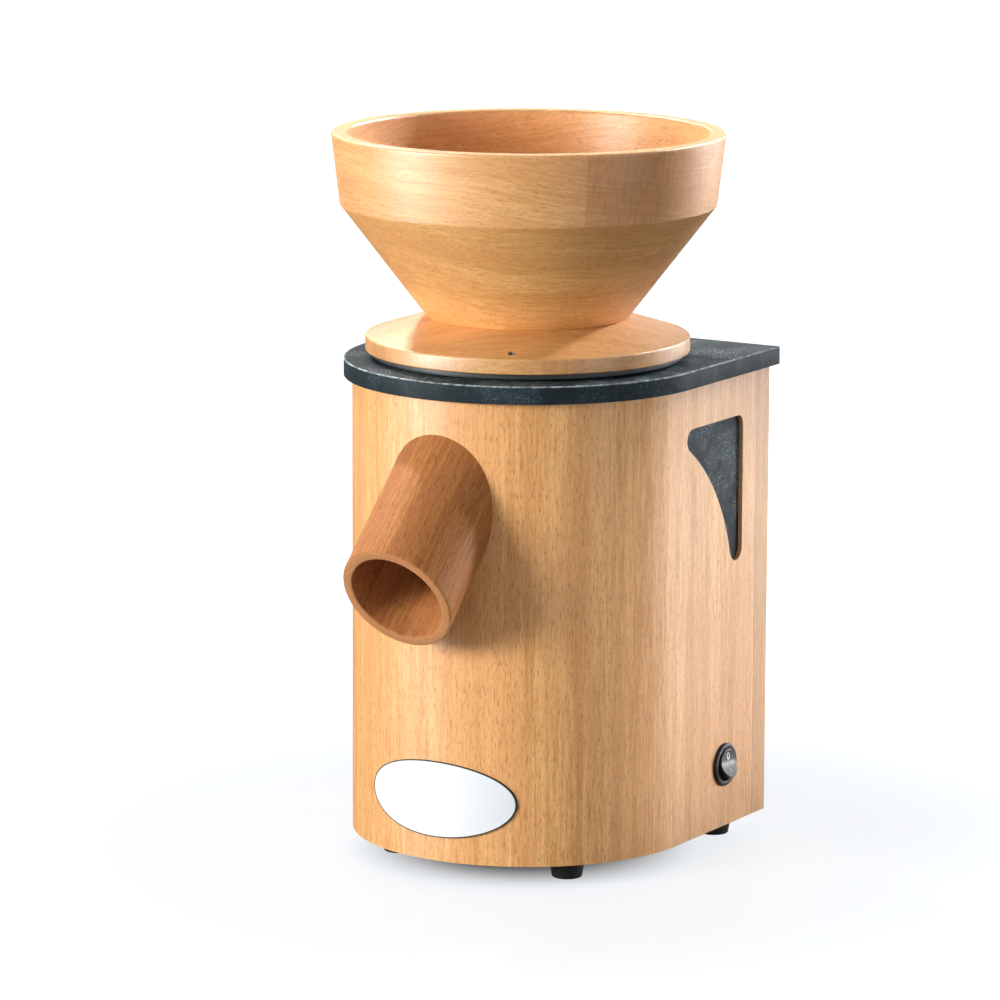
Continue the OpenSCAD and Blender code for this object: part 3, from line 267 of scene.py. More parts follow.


# pressed dark board: cloudy slate, with pale dust rubbed into the grit and fine scuffs, and a painted sheen
# on its top
def composite(name, settings):
    finish, tree, shader = startFinish(name, 0.5, shine=0.06)
    place = addNode(tree, "ShaderNodeTexCoord").outputs["Object"]
    cloud = noise(tree, place, 38.0, 4.0, 0.6)
    grit = noise(tree, place, settings["grit"], 4.0, 0.75)
    lines = noise(tree, addNode(tree, "ShaderNodeMapping", {
        "Vector": place, "Rotation": (0.3, 0.2, 0.6), "Scale": (90, 1400, 1400)}).outputs[0], 1.0, 3.0, 0.7)
    dust = sums(tree, "MULTIPLY", ramp(tree, grit, 0.5, 0.66), ramp(tree, cloud, 0.4, 0.62, 0.2, 1.0))
    scuff = sums(tree, "MULTIPLY", ramp(tree, lines, settings["scuffFrom"], settings["scuffFrom"] + 0.12),
                 ramp(tree, cloud, 0.45, 0.6))
    pale = sums(tree, "MAXIMUM", sums(tree, "MULTIPLY", dust, settings["dust"]),
                sums(tree, "MULTIPLY", scuff, settings["scuff"]))
    flat = addNode(tree, "ShaderNodeTexCoord").outputs["Normal"]
    upward = addNode(tree, "ShaderNodeSeparateXYZ", {"Vector": flat}).outputs[2]
    # painted sheen: dust and scuffs are full on upward faces and cut to the sides share elsewhere, so the top
    # is paler partly by dust, partly by painted reflection
    pale = sums(tree, "MULTIPLY", pale, ramp(tree, upward, 0.2, 0.9, settings["sides"], 1.0))
    # wear and a painted highlight along the upper edge, from the piece's own attribute
    edge = addNode(tree, "ShaderNodeAttribute", attribute_name="wornAndHighlitEdge").outputs["Fac"]
    worn = sums(tree, "MULTIPLY", edge, ramp(tree, noise(tree, place, 260.0, 3.0, 0.7), 0.4, 0.6, 0.25, 0.9))
    pale = sums(tree, "MAXIMUM", pale, worn)
    colour = blendColours(tree, ramp(tree, cloud, 0.35, 0.7), settings["dark"],
                          tuple(1.8 * c for c in settings["dark"]))
    colour = blendColours(tree, pale, colour, settings["pale"])
    tree.links.new(colour, shader.inputs["Base Color"])
    tree.links.new(ramp(tree, grit, 0.3, 0.7, 0.38, 0.6), shader.inputs["Roughness"])
    bumped(tree, shader, grit, 0.3, 0.0002)
    return finish


# moulded, cast or plated surface: a slight cloud in the colour and a fine moulding grain
def plain(name, colour, roughness, metallic=0.0, grain=900.0, depth=0.00008, drift=0.15, shine=0.5):
    finish, tree, shader = startFinish(name, roughness, metallic, shine)
    place = addNode(tree, "ShaderNodeTexCoord").outputs["Object"]
    cloud = noise(tree, place, 60.0)
    worn = tuple(min(1.0, c * (1 + drift) + 0.01 * drift) for c in colour)
    clouded = blendColours(tree, ramp(tree, cloud, 0.35, 0.7), colour, worn)
    tree.links.new(clouded, shader.inputs["Base Color"])
    tree.links.new(ramp(tree, cloud, 0.3, 0.7, roughness, roughness + 0.08), shader.inputs["Roughness"])
    bumped(tree, shader, noise(tree, place, grain, 2.0), 0.3, depth)
    return finish


beech = {
    "light": (0.92, 0.540, 0.225), "dark": (0.66, 0.310, 0.095), "pink": (0.79, 0.390, 0.155),
    "ray": (0.42, 0.150, 0.036), "hair": (0.97, 0.72, 0.42), "ends": (0.34, 0.125, 0.032),
    "strokeDepth": 0.62, "rayDepth": 0.85, "onEdge": 0.8, "endDepth": 0.3, "bandWidth": 0.010,
    "gloss": 0.38, "shine": 0.45,
}
# the spout's ends are paler than its tube: partly end grain, partly a painted highlight on the lip
redBeech = dict(beech, light=(0.54, 0.232, 0.075), dark=(0.34, 0.125, 0.037), pink=(0.41, 0.160, 0.058),
                ray=(0.16, 0.045, 0.012), ends=(0.62, 0.30, 0.135), endDepth=0.75, rayDepth=0.4, onEdge=1.0,
                gloss=0.52, shine=0.14)
bandBeech = dict(beech, light=(0.88, 0.50, 0.20), dark=(0.67, 0.32, 0.10), strokeDepth=0.45, rayDepth=0.9,
                 onEdge=1.0, bandWidth=0.012, gloss=0.38, shine=0.85)
coneBeech = dict(bandBeech, light=(0.93, 0.540, 0.198), dark=(0.72, 0.345, 0.098), pink=(0.81, 0.40, 0.14),
                 bandWidth=0.013)
slate = {"dark": (0.014, 0.023, 0.029), "pale": (0.46, 0.55, 0.59), "grit": 900.0,
         "dust": 1.0, "scuff": 1.0, "scuffFrom": 0.6, "sides": 0.16}
upright = {"heading": 0.0, "fall": -90.0}
panelFront = float(boxOf("back_panel")[0][1])

finishes = {
    "beech": wood("beech_upright", beech, upright, seam=panelFront),
    "beech_oiled": wood("beech_board", redBeech, {"heading": 90.0, "fall": 0.0}),
    "composite": composite("composite", slate),
    "black_plastic": plain("black_plastic", (0.014, 0.014, 0.016), 0.42, shine=0.35),
    "black_gloss": plain("black_gloss", (0.010, 0.010, 0.013), 0.32, depth=0.000005, shine=0.24),
    "rubber": plain("rubber", (0.013, 0.013, 0.014), 0.7, depth=0.00015, shine=0.3),
    "steel": plain("plated_steel", (0.55, 0.56, 0.58), 0.3, 1.0),
    "cast_alloy": plain("cast_alloy", (0.5, 0.51, 0.53), 0.5, 1.0, depth=0.0002),
    "laminate": plain("laminations", (0.16, 0.165, 0.175), 0.5, 0.8),
    "copper": plain("winding_wire", (0.45, 0.17, 0.06), 0.35, 0.8),
    "corundum": plain("corundum", (0.62, 0.56, 0.47), 0.9, grain=1500.0, depth=0.0004),
    "felt": plain("felt", (0.72, 0.70, 0.64), 0.95, depth=0.0004),
    "badge": plain("badge_white", (0.82, 0.87, 0.93), 0.45, depth=0.00002, drift=0.0, shine=0.3),
    "capacitor_can": plain("pale_can", (0.7, 0.71, 0.72), 0.4),
}
inlayBoard = composite("inlay_board", dict(
    slate, dark=(0.007, 0.015, 0.021), sides=1.0, dust=0.2, scuff=0.85, scuffFrom=0.54))
panelBeech = dict(beech, light=(0.74, 0.42, 0.17), dark=(0.60, 0.31, 0.11))
panelWood = wood("beech_panel", panelBeech, dict(upright, shift=(0.13, 0.4, 0.07)), seam=panelFront)

# the line's place and softness are shares of the way out; lengths in mm along the front
badge = {"line": 0.974, "soft": 0.006, "dark": (0.02, 0.02, 0.022), "halfLength": 50.0, "radius": 101.5}


# the line lies where (arc length / half length)^2 + (height / half height)^2 nears 1
def drawBadgeLine(finish, settings):
    tree = finish.node_tree
    shader = tree.nodes["Principled BSDF"]
    low, high = boxOf("badge_plate")
    toMiddle = (0.0, -float(millAxis[1]), -float(low[2] + high[2]) / 2)
    place = addNode(tree, "ShaderNodeTexCoord").outputs["Object"]
    moved = addNode(tree, "ShaderNodeMapping", {"Vector": place, "Location": toMiddle}).outputs[0]
    parts = addNode(tree, "ShaderNodeSeparateXYZ", {"Vector": moved}).outputs
    angle = sums(tree, "ARCTAN2", parts[0], sums(tree, "MULTIPLY", parts[1], -1.0))
    along = sums(tree, "MULTIPLY", angle, settings["radius"] / settings["halfLength"])
    tall = sums(tree, "MULTIPLY", parts[2], 2 / float(high[2] - low[2]))
    reach = sums(tree, "ADD", sums(tree, "POWER", sums(tree, "ABSOLUTE", along), 2.0),
                 sums(tree, "POWER", sums(tree, "ABSOLUTE", tall), 2.0))
    edge = ramp(tree, sums(tree, "SQRT", reach), settings["line"] - settings["soft"], settings["line"])
    white = shader.inputs["Base Color"].links[0].from_socket
    tree.links.new(blendColours(tree, edge, white, settings["dark"]), shader.inputs["Base Color"])


drawBadgeLine(finishes["badge"], badge)

slotOf = {part["node"]: part["material_slot"] for part in frame["record"]["subparts"]}
for nodeName, piece in nodes.items():
    for slot in piece.material_slots:
        slot.material = finishes[slotOf[nodeName]]
for nodeName, finish in (("back_panel", panelWood), ("inlay_right", inlayBoard), ("inlay_left", inlayBoard)):
    for slot in nodes[nodeName].material_slots:
        slot.material = finish

print("turned and moulded pieces")


# corners are (radius, height, cut); each is rounded by the curve
# (1-s)^2 before + 2s(1-s) corner + s^2 after, from `cut` before it to `cut` after it, round a closed outline
def roundOff(corners, steps=8):
    corners = np.array(corners, float)
    points, cuts = corners[:, :2], corners[:, 2:3]
    before = np.roll(points, 1, axis=0) - points
    after = np.roll(points, -1, axis=0) - points
    before = points + cuts * before / np.linalg.norm(before, axis=1, keepdims=True)
    after = points + cuts * after / np.linalg.norm(after, axis=1, keepdims=True)
    s = np.linspace(0, 1, steps + 1)[None, :, None]
    curve = (1 - s) ** 2 * before[:, None] + 2 * s * (1 - s) * points[:, None] + s ** 2 * after[:, None]
    curve = curve.reshape(-1, 2)
    keep = np.linalg.norm(curve - np.roll(curve, 1, axis=0), axis=1) > 1e-7
    return curve[keep]


# a profile of (r, z) carried round an axis: along (X, Y, Z) by (r cos a, r sin a, z) in the axis's own order
def turn(profile, origin, axis="Z", angles=None):
    angles = np.linspace(0, 2 * np.pi, 256, endpoint=False) if angles is None else angles
    r, z = profile[None, :, 0], profile[None, :, 1]
    level, upright = r * np.cos(angles)[:, None], r * np.sin(angles)[:, None]
    along = np.broadcast_to(z, level.shape)
    order = {"Z": (level, upright, along), "Y": (level, along, upright), "X": (along, level, upright)}[axis]
    return np.stack(order, -1) + np.array(origin)


# a grid of points becomes quads between neighbours; the profile closes on itself, and so does the path
def makePiece(name, grid, finish, body, replaced=(), sharp=38):
    rows, columns = grid.shape[:2]
    index = np.arange(rows * columns).reshape(rows, columns)
    index = np.vstack([index, index[:1]])
    index = np.hstack([index, index[:, :1]])
    quads = np.stack([index[:-1, :-1], index[1:, :-1], index[1:, 1:], index[:-1, 1:]], -1).reshape(-1, 4)
    mesh = bpy.data.meshes.new(name)
    mesh.from_pydata(grid.reshape(-1, 3), [], quads)
    work = bmesh.new()
    work.from_mesh(mesh)
    bmesh.ops.remove_doubles(work, verts=work.verts, dist=1e-7)
    bmesh.ops.recalc_face_normals(work, faces=work.faces)
    work.to_mesh(mesh)
    work.free()
    mesh.polygons.foreach_set("use_smooth", np.ones(len(mesh.polygons), bool))
    mesh.set_sharp_from_angle(angle=math.radians(sharp))
    mesh.materials.append(finish)
    piece = bpy.data.objects.new(name, mesh)
    scene.collection.objects.link(piece)
    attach(piece, body)
    if replaced:
        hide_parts(*replaced)
    return piece


mm = 0.001
bowl = {  # mm; radii from the mill's axis
    "neck": 58.5, "neckInside": 44.0, "spigot": 52.0, "spigotHeight": 4.0, "spigotInside": 40.65,
    "break": 108.7, "breakInside": 98.7, "rim": 113.7, "rimInside": 104.3,
    "rimRound": 2.2, "edge": 0.5,
    "block": (47.5, 73.4),  # degrees round from the front, of the upright block in the band
}


# bowl and band share one outline, which the glue line parts at the break outside and in the bend inside
def makeBowl(settings):
    neckZ, breakZ, rimZ = float(baseHigh[2]) / mm, float(bandLow[2]) / mm, float(bandHigh[2]) / mm
    s = settings
    band = roundOff([
        (s["break"], breakZ, 0.3), (s["rim"], rimZ, s["rimRound"]), (s["rimInside"], rimZ, s["rimRound"]),
        (s["breakInside"], breakZ + 0.01, 1.6)])
    cone = roundOff([
        (s["neck"], neckZ, s["edge"]), (s["break"], breakZ, 0.3), (s["breakInside"], breakZ, 0.8),
        (s["neckInside"], neckZ, 0.3), (s["spigotInside"], neckZ - s["spigotHeight"], 0.2),
        (s["spigot"], neckZ - s["spigotHeight"], 0.2), (s["spigot"], neckZ, 0.05)])
    around = {"radius": s["break"] * mm, "wander": 0.035, "climb": 0.08}
    coneWood = wood("beech_cone", coneBeech, dict(around, shift=(0, 0, 0.3)))
    bandWood = wood("beech_band", bandBeech, around, blocks=(
        (*s["block"], 1.0, (0.90, 0.80, 0.70)), (s["block"][1], 110, 0.7, (0.96, 0.91, 0.88))))
    makePiece("bowl_cone", turn(cone * mm, millAxis), coneWood, "hopper", ["hopper_bowl"])
    makePiece("bowl_band", turn(band * mm, millAxis), bandWood, "hopper", ["hopper_band"])


makeBowl(bowl)

base = {  # mm
    "radius": 94.0, "edge": 8.7, "throat": 18.0, "socket": 52.1, "spigotInside": 40.65, "spigotHeight": 4.0,
    "lowRound": 0.8, "topRound": 1.3, "neck": 58.5,
    "markRadius": 86.3, "markAngle": 24.6, "markSize": 1.9, "markDepth": 3.5,  # the small grade mark
    "markReach": 2.4, "markSteps": 33,
    "heading": 31.0, "block": (35.8, 50.8),  # degrees: the grain's heading, and an upright block in the rim
}


# the disc is a turned outline; near the mark it sinks by depth * (1 - smooth step of the distance)
def makeBase(settings):
    s = settings
    lowZ, topZ = float(baseLow[2]) / mm, float(baseHigh[2]) / mm
    edgeZ = lowZ + s["edge"]
    outline = roundOff([
        (s["throat"], lowZ, 0.3), (s["radius"], lowZ, s["lowRound"]), (s["radius"], edgeZ, s["topRound"]),
        (s["neck"], topZ, 0.3), (s["socket"], topZ, 0.2), (s["socket"], topZ - s["spigotHeight"], 0.2),
        (s["spigotInside"], topZ - s["spigotHeight"], 0.2), (s["throat"], lowZ + 4, 0.3)])
    # finer steps across the mark, on the sloping top
    radii = s["markRadius"] + np.linspace(s["markReach"], -s["markReach"], s["markSteps"])
    slope = (topZ - edgeZ) / (s["radius"] - s["neck"])
    extra = np.stack([radii, edgeZ + (s["radius"] - radii) * slope], -1)
    cutIn = np.argmax((outline[:, 0] < s["markRadius"]) & (outline[:, 1] > edgeZ))
    outline = np.vstack([outline[:cutIn], extra, outline[cutIn:]])
    markTurn = math.radians(s["markAngle"] - 90)
    span = s["markReach"] / s["markRadius"]
    coarse = np.linspace(-np.pi, np.pi, 257)[:-1]
    coarse = coarse[np.abs(coarse - markTurn) > span + 0.004]
    angles = np.sort(np.concatenate([coarse, markTurn + np.linspace(-span, span, s["markSteps"])]))
    grid = turn(outline * mm, millAxis, angles=angles)
    mark = millAxis[:2] + s["markRadius"] * mm * np.array([math.cos(markTurn), math.sin(markTurn)])
    away = np.linalg.norm(grid[..., :2] - mark, axis=-1) / (s["markSize"] * mm)
    step = np.clip((away - 0.75) / 0.35, 0, 1)
    sunk = s["markDepth"] * mm * (1 - step * step * (3 - 2 * step))
    grid[..., 2] -= np.where(grid[..., 2] > edgeZ * mm, sunk, 0)
    # the disc's beech is a darker, more saturated copy of the cone's: partly its own wood, partly painted
    # shade for the top under the bowl
    baseBeechWithPaintedShade = dict(coneBeech, light=(0.70, 0.385, 0.14), dark=(0.54, 0.25, 0.072))
    finish = wood("beech_base_painted_shade", baseBeechWithPaintedShade, {"heading": s["heading"], "fall": 0.0, "shift": (-0.1, 0.1, 0)},
                  blocks=((*s["block"], 0.8, (0.9, 0.84, 0.8)),),
                  dot=(*mark, s["markSize"] * mm * 1.3))
    makePiece("hopper_foot_disc", grid, finish, "hopper", ["hopper_base"])


makeBase(base)

plate = {"radius": 106.5, "rear": 111.0, "corner": 1.2, "hole": 70.3, "lowRound": 0.5, "topRound": 0.9}  # mm


# plan of the plate, drawn in by `inset`: arcs of radius - inset joined by straight sides
def plateOutline(inset, settings):
    half, rear = settings["radius"] - inset, settings["rear"] - inset
    corner = max(settings["corner"] - inset, 0.05)
    front = np.radians(np.linspace(180, 360, 145))
    turnIn = np.radians(np.linspace(0, 90, 5))
    side = np.linspace(0, 1, 14)[1:-1, None]
    arc = half * np.stack([np.cos(front), np.sin(front)], -1)
    right = np.array([half - corner, rear - corner]) + corner * np.stack([np.cos(turnIn), np.sin(turnIn)], -1)
    left = right[::-1] * (-1, 1)
    up = arc[-1] + (right[0] - arc[-1]) * side
    across = right[-1] + (left[0] - right[-1]) * side
    down = left[-1] + (arc[0] - left[-1]) * side
    return np.vstack([arc, up, right, across, left, down])


# the section (inset, height) is carried round that plan, and its inner end lies on the round hole
def makePlate(settings):
    s = settings
    lowZ, topZ = float(plateLow[2]) / mm, float(plateHigh[2]) / mm
    bend = np.linspace(0, 1, 6)
    low = np.stack([s["lowRound"] * (1 - bend) ** 2, lowZ + s["lowRound"] * bend ** 2], -1)
    top = np.stack([s["topRound"] * bend ** 2, topZ - s["topRound"] * (1 - bend) ** 2], -1)
    section = np.vstack([low, top])
    count = len(plateOutline(0, s))
    rings = [np.column_stack([plateOutline(inset, s), np.full(count, z)]) for inset, z in section]
    outer = rings[-1][:, :2]
    hole = s["hole"] * outer / np.linalg.norm(outer, axis=1, keepdims=True)
    rings.append(np.column_stack([hole, np.full(len(hole), topZ)]))
    rings.append(np.column_stack([hole, np.full(len(hole), lowZ)]))
    grid = np.stack(rings, 1) * mm + millAxis
    board = makePiece("plate_board", grid, finishes["composite"], "housing", ["top_plate"])
    # wear and the painted edge highlight are strongest on the rounding of the upper edge
    place = np.empty(len(board.data.vertices) * 3)
    board.data.vertices.foreach_get("co", place)
    height = place.reshape(-1, 3)[:, 2] / mm
    inTurn = (height > topZ - s["topRound"] * 0.9) & (height < topZ - 0.001)
    wornAndHighlitEdge = board.data.attributes.new("wornAndHighlitEdge", "FLOAT", "POINT")
    wornAndHighlitEdge.data.foreach_set("value", inTurn.astype(np.float32))


makePlate(plate)

spout = {  # mm
    "radius": 34.0, "bore": 28.0, "fall": 44.0, "mouthFall": 31.0, "inner": 86.0, "round": 1.4,
    "mouth": (-143.03, 173.0),  # of its middle: ahead of the mill's axis, above the floor
}


# tube: point = mouth + r (cos u, sin u) square to the axis + t along it. The slanting lip is
# t = s - r sin u tan(fall - mouthFall), and the inner end is where the point is `inner` from the mill's axis
def makeSpout(settings):
    s = settings
    fall, skew = math.radians(s["fall"]), math.tan(math.radians(s["fall"] - s["mouthFall"]))
    u = np.linspace(0, 2 * np.pi, 192, endpoint=False)[:, None]
    mouth = np.array([0, *s["mouth"]])
    inward = np.array([0, math.cos(fall), math.sin(fall)])
    aside, upward = np.array([1.0, 0, 0]), np.array([0, math.sin(fall), -math.cos(fall)])
    far, middle = 60, (s["radius"] + s["bore"]) / 2
    lip = roundOff([(s["radius"], 0, s["round"]), (s["bore"], 0, s["round"]), (s["bore"], far, 0.1),
                    (s["radius"], far, 0.1)], 6)
    lip = lip[lip[:, 1] < far - 10]  # the far corners only steer the rounding
    # from the outer wall round the lip to the bore; the tiny share of the depth orders equal radii
    order = np.argsort(-lip[:, 0] + np.where(lip[:, 0] > middle, -1, 1) * 0.001 * lip[:, 1])
    r, depth = lip[order][None, :, 0], lip[order][None, :, 1]
    t = depth - r * np.sin(u) * skew

    def innerEnd(radius):
        reach = -np.sqrt(s["inner"] ** 2 - (radius * np.cos(u)) ** 2)
        return (reach - mouth[1] - radius * np.sin(u) * upward[1]) / inward[1]

    def alongTube(radius, low, high, count):
        share = np.linspace(0, 1, count + 2)[None, 1:-1]
        return low + (high - low) * share, np.full((1, count), radius)

    outerT, outerR = alongTube(s["radius"], innerEnd(s["radius"]), t[:, :1], 6)
    boreT, boreR = alongTube(s["bore"], t[:, -1:], innerEnd(s["bore"]), 6)
    t = np.hstack([innerEnd(s["radius"]), outerT, t, boreT, innerEnd(s["bore"])])
    r = np.hstack([np.full((1, 1), s["radius"]), outerR, r, boreR, np.full((1, 1), s["bore"])])
    grid = (mouth + r[..., None] * (np.cos(u)[..., None] * aside + np.sin(u)[..., None] * upward)
            + t[..., None] * inward)
    finish = wood("beech_oiled", redBeech, {"heading": -90.0, "fall": s["fall"], "shift": (0.05, 0, 0)})
    makePiece("spout_tube", grid * mm + millAxis, finish, "housing", ["spout"])


makeSpout(spout)

feet = {"low": 8.7, "top": 10.5, "screwWell": 4.2, "screwHole": 2.1, "wellDepth": 6.0, "height": 13.0}  # mm


def makeFeet(settings):
    s = settings
    outline = roundOff([
        (s["screwWell"], 0, 0.4), (s["low"], 0, 1.0), (s["top"], s["height"] - 1.5, 0.5),
        (s["top"], s["height"], 0.3), (s["screwHole"], s["height"], 0.05),
        (s["screwHole"], s["wellDepth"], 0.05), (s["screwWell"], s["wellDepth"], 0.2)], 5)
    for corner in ("front_left", "front_right", "rear_left", "rear_right"):
        low, high = boxOf("foot_" + corner)
        middle = [*(low[:2] + high[:2]) / 2, 0]
        grid = turn(outline * mm, middle, angles=np.linspace(0, 2 * np.pi, 72, endpoint=False))
        makePiece("rubber_foot_" + corner, grid, finishes["rubber"], "housing", ["foot_" + corner])


makeFeet(feet)

bushing = {"bore": 3.6, "barrel": 6.5, "flange": 9.5, "flangeDepth": 3.0, "flangeRound": 1.2}  # mm


def makeBushing(settings):
    s = settings
    low, high = boxOf("cable_bushing")
    middle = [(low[0] + high[0]) / 2, 0, (low[2] + high[2]) / 2]
    tail, face = float(low[1]) / mm, float(high[1]) / mm
    outline = roundOff([
        (s["bore"], tail, 0.3), (s["barrel"], tail, 0.4), (s["barrel"], face - s["flangeDepth"], 0.1),
        (s["flange"], face - s["flangeDepth"], 0.4), (s["flange"] - 0.8, face, s["flangeRound"]),
        (s["bore"], face, 0.9)])
    grid = turn(outline * mm, middle, "Y", np.linspace(0, 2 * np.pi, 96, endpoint=False))
    makePiece("cord_bushing", grid, finishes["black_plastic"], "housing", ["cable_bushing"])


makeBushing(bushing)

switch = {  # mm
    "bezel": 12.75, "bezelHeight": 2.2, "barrel": 11.0, "mouth": 9.8, "well": 7.3, "depth": 20.0,
    "rocker": 8.7, "rockerEnd": 10.2, "valley": 4.0, "back": 4.0, "tilt": 14.0, "edge": 0.7, "hollow": 2.6,
    "pivotBelowWood": 1.011, "markAt": 4.3, "zero": (1.6, 2.1, 0.6), "bar": (1.1, 0.2),
}
switchMark = plain("switch_mark", (0.92, 0.92, 0.92), 0.5, depth=0.00001, drift=0.02)


# rocker: height over its round plan is the lesser of valley + |x| tan(tilt) and the end's round
# sqrt(rockerEnd^2 - x^2), with x down the switch, less a small round at the rim
def rockerHeight(x, y, s):
    face = s["valley"] + np.sqrt(x ** 2 + s["hollow"] ** 2) * math.tan(math.radians(s["tilt"]))
    end = np.sqrt(np.maximum(s["rockerEnd"] ** 2 - x ** 2, 1))
    blend = np.clip(0.5 + (end - face) / 1.2, 0, 1)
    low = end * (1 - blend) + face * blend - 0.6 * blend * (1 - blend)
    over = np.clip((np.hypot(x, y) - s["rocker"] + s["edge"]) / s["edge"], 0, 1)
    return low - s["edge"] * (1 - np.sqrt(1 - over ** 2))


# local (x down, y back, height out) turned by the tilt about the pivot and set on the housing's side
def ontoSide(x, y, height, pivot, s):
    tilt = math.radians(-s["tilt"])
    down = x * math.cos(tilt) + height * math.sin(tilt)
    out = -x * math.sin(tilt) + height * math.cos(tilt)
    return np.stack([out, np.broadcast_to(y, out.shape), -down], -1) * mm + pivot


def makeSwitch(settings):
    s = settings
    low, high = boxOf("switch_body")
    woodFace = float(boxOf("housing_shell")[1][0])
    middle = np.array([woodFace, (low[1] + high[1]) / 2, (low[2] + high[2]) / 2])
    outline = roundOff([
        (0, -s["depth"], 0), (s["barrel"], -s["depth"], 0.5), (s["barrel"], 0, 0.05), (s["bezel"], 0, 0.1),
        (s["bezel"], s["bezelHeight"], 1.2), (s["mouth"], s["bezelHeight"], 0.45),
        (s["mouth"], -s["well"], 0.3), (0, -s["well"], 0)])
    grid = turn(outline * mm, middle, "X", np.linspace(0, 2 * np.pi, 144, endpoint=False))
    makePiece("switch_bezel", grid, finishes["black_gloss"], "housing", ["switch_body"])

    pivot = middle - np.array([s["pivotBelowWood"] * mm, 0, 0])
    around = np.linspace(0, 2 * np.pi, 96, endpoint=False)[:, None]
    out = np.concatenate([np.linspace(0, s["rocker"] - s["edge"], 16),
                          s["rocker"] - s["edge"] * (1 - np.sin(np.linspace(0, np.pi / 2, 7)[1:]))])[None, :]
    x, y = out * np.cos(around), out * np.sin(around)
    height = rockerHeight(x, y, s)
    # side wall and back close the rocker
    x = np.hstack([x, x[:, -1:], 0 * x[:, -1:]])
    y = np.hstack([y, y[:, -1:], 0 * y[:, -1:]])
    height = np.hstack([height, np.full((96, 2), -s["back"])])
    makePiece("switch_rocker_cap", ontoSide(x, y, height, pivot, s), finishes["black_gloss"],
              "rocker", ["switch_rocker"], sharp=30)

    # the off and on marks stand a hair above the faces
    halfY, halfX, line = s["zero"]
    ring = np.array([[1, 0.06], [1, -0.2], [0, -0.2], [0, 0.06]])
    grown = ring[None, :, 0] * line
    x = -s["markAt"] + (halfX - grown) * np.cos(around)
    y = (halfY - grown) * np.sin(around)
    makePiece("mark_off", ontoSide(x, y, rockerHeight(x, y, s) + ring[None, :, 1], pivot, s), switchMark,
              "rocker")
    ends = np.array([[-1, -1], [1, -1], [1, 1], [-1, 1]])[:, None, :] * (s["bar"][0], s["bar"][1])
    x = s["markAt"] + ends[..., 0] * np.array([[0, 1, 1, 0]])
    y = ends[..., 1] * np.array([[0, 1, 1, 0]])
    lift = np.array([[0.05, 0.05, -0.2, -0.2]])
    makePiece("mark_on", ontoSide(x, y, rockerHeight(x, y, s) + lift, pivot, s), switchMark,
              "rocker")


makeSwitch(switch)

collar = {"radius": 90.1, "inner": 80.0, "low": -3.25, "round": 0.9}  # mm, heights from the base's underside
collarGrey = plain("collar_grey", (0.045, 0.047, 0.052), 0.42, depth=0.00002, shine=0.3)


# the edge of the adjusting collar, rounded where it shows under the base
def makeCollarEdge(settings):
    s = settings
    lowZ = float(baseLow[2]) / mm
    outline = roundOff([
        (s["inner"], lowZ + s["low"], 0.05), (s["radius"], lowZ + s["low"], s["round"]),
        (s["radius"], lowZ - 0.02, 0.5), (s["inner"], lowZ - 0.02, 0.05)])
    makePiece("collar_edge", turn(outline * mm, millAxis), collarGrey, "hopper")


makeCollarEdge(collar)

print("room")
room = {
    # the glow rings round the mill's axis paint a contact shadow under it and a soft shade around it
    "floor": (0.14, 0.147, 0.16), "half": 8.0, "paintedShadowGlow": 0.03, "paintedShadeGlow": 0.85, "farGlow": 1.1,
    "paintedShadowRing": (0.04, 0.108), "paintedShadeRing": (0.2, 0.5), "glow": (0.95, 0.975, 1, 1), "ambient": 0.2,
    "aim": (0, 0.02, 0.24),  # what the lamps face
}


def makeFloor(settings):
    mesh = bpy.data.meshes.new("floor")
    half = settings["half"]
    corners = [(-half, -half, 0), (half, -half, 0), (half, half, 0), (-half, half, 0)]
    mesh.from_pydata(corners, [], [(0, 1, 2, 3)])
    floor = bpy.data.objects.new("floor", mesh)
    scene.collection.objects.link(floor)
    finish, tree, shader = startFinish("floor_white", 0.6, shine=0.2)
    shader.inputs["Base Color"].default_value = (*settings["floor"], 1)
    mesh.materials.append(finish)
    # to the camera the floor glows by two ramps round the mill's axis: nearly dark under the mill, a painted
    # contact shadow, then a paler painted shade that fades to white further out; to all else it is a plain
    # grey
    place = addNode(tree, "ShaderNodeTexCoord").outputs["Object"]
    centred = addNode(tree, "ShaderNodeMapping", {
        "Vector": place, "Location": (0, -float(millAxis[1]), 0)}).outputs[0]
    away = addNode(tree, "ShaderNodeVectorMath", {0: centred}, operation="LENGTH").outputs["Value"]
    beside = ramp(tree, away, *settings["paintedShadowRing"], settings["paintedShadowGlow"], settings["paintedShadeGlow"])
    far = ramp(tree, away, *settings["paintedShadeRing"], 0.0, settings["farGlow"] - settings["paintedShadeGlow"])
    glow = addNode(tree, "ShaderNodeEmission", {
        "Color": settings["glow"], "Strength": sums(tree, "ADD", beside, far)})
    both = addNode(tree, "ShaderNodeAddShader", {0: shader.outputs[0], 1: glow.outputs[0]})
    ray = addNode(tree, "ShaderNodeLightPath")
    seen = addNode(tree, "ShaderNodeMixShader", {
        0: ray.outputs["Is Camera Ray"], 1: shader.outputs[0], 2: both.outputs[0]})
    tree.links.new(seen.outputs[0], tree.nodes["Material Output"].inputs["Surface"])


def makeWorld(settings):
    world = bpy.data.worlds.new("studio")
    scene.world = world
    world.use_nodes = True
    tree = world.node_tree
    background = tree.nodes["Background"]
    background.inputs["Color"].default_value = (1, 1, 1, 1)
    ray = addNode(tree, "ShaderNodeLightPath")
    seen = sums(tree, "MAXIMUM", ray.outputs["Is Camera Ray"], ray.outputs["Is Glossy Ray"])
    tree.links.new(ramp(tree, seen, 0.0, 1.0, settings["ambient"], 1.0), background.inputs["Strength"])


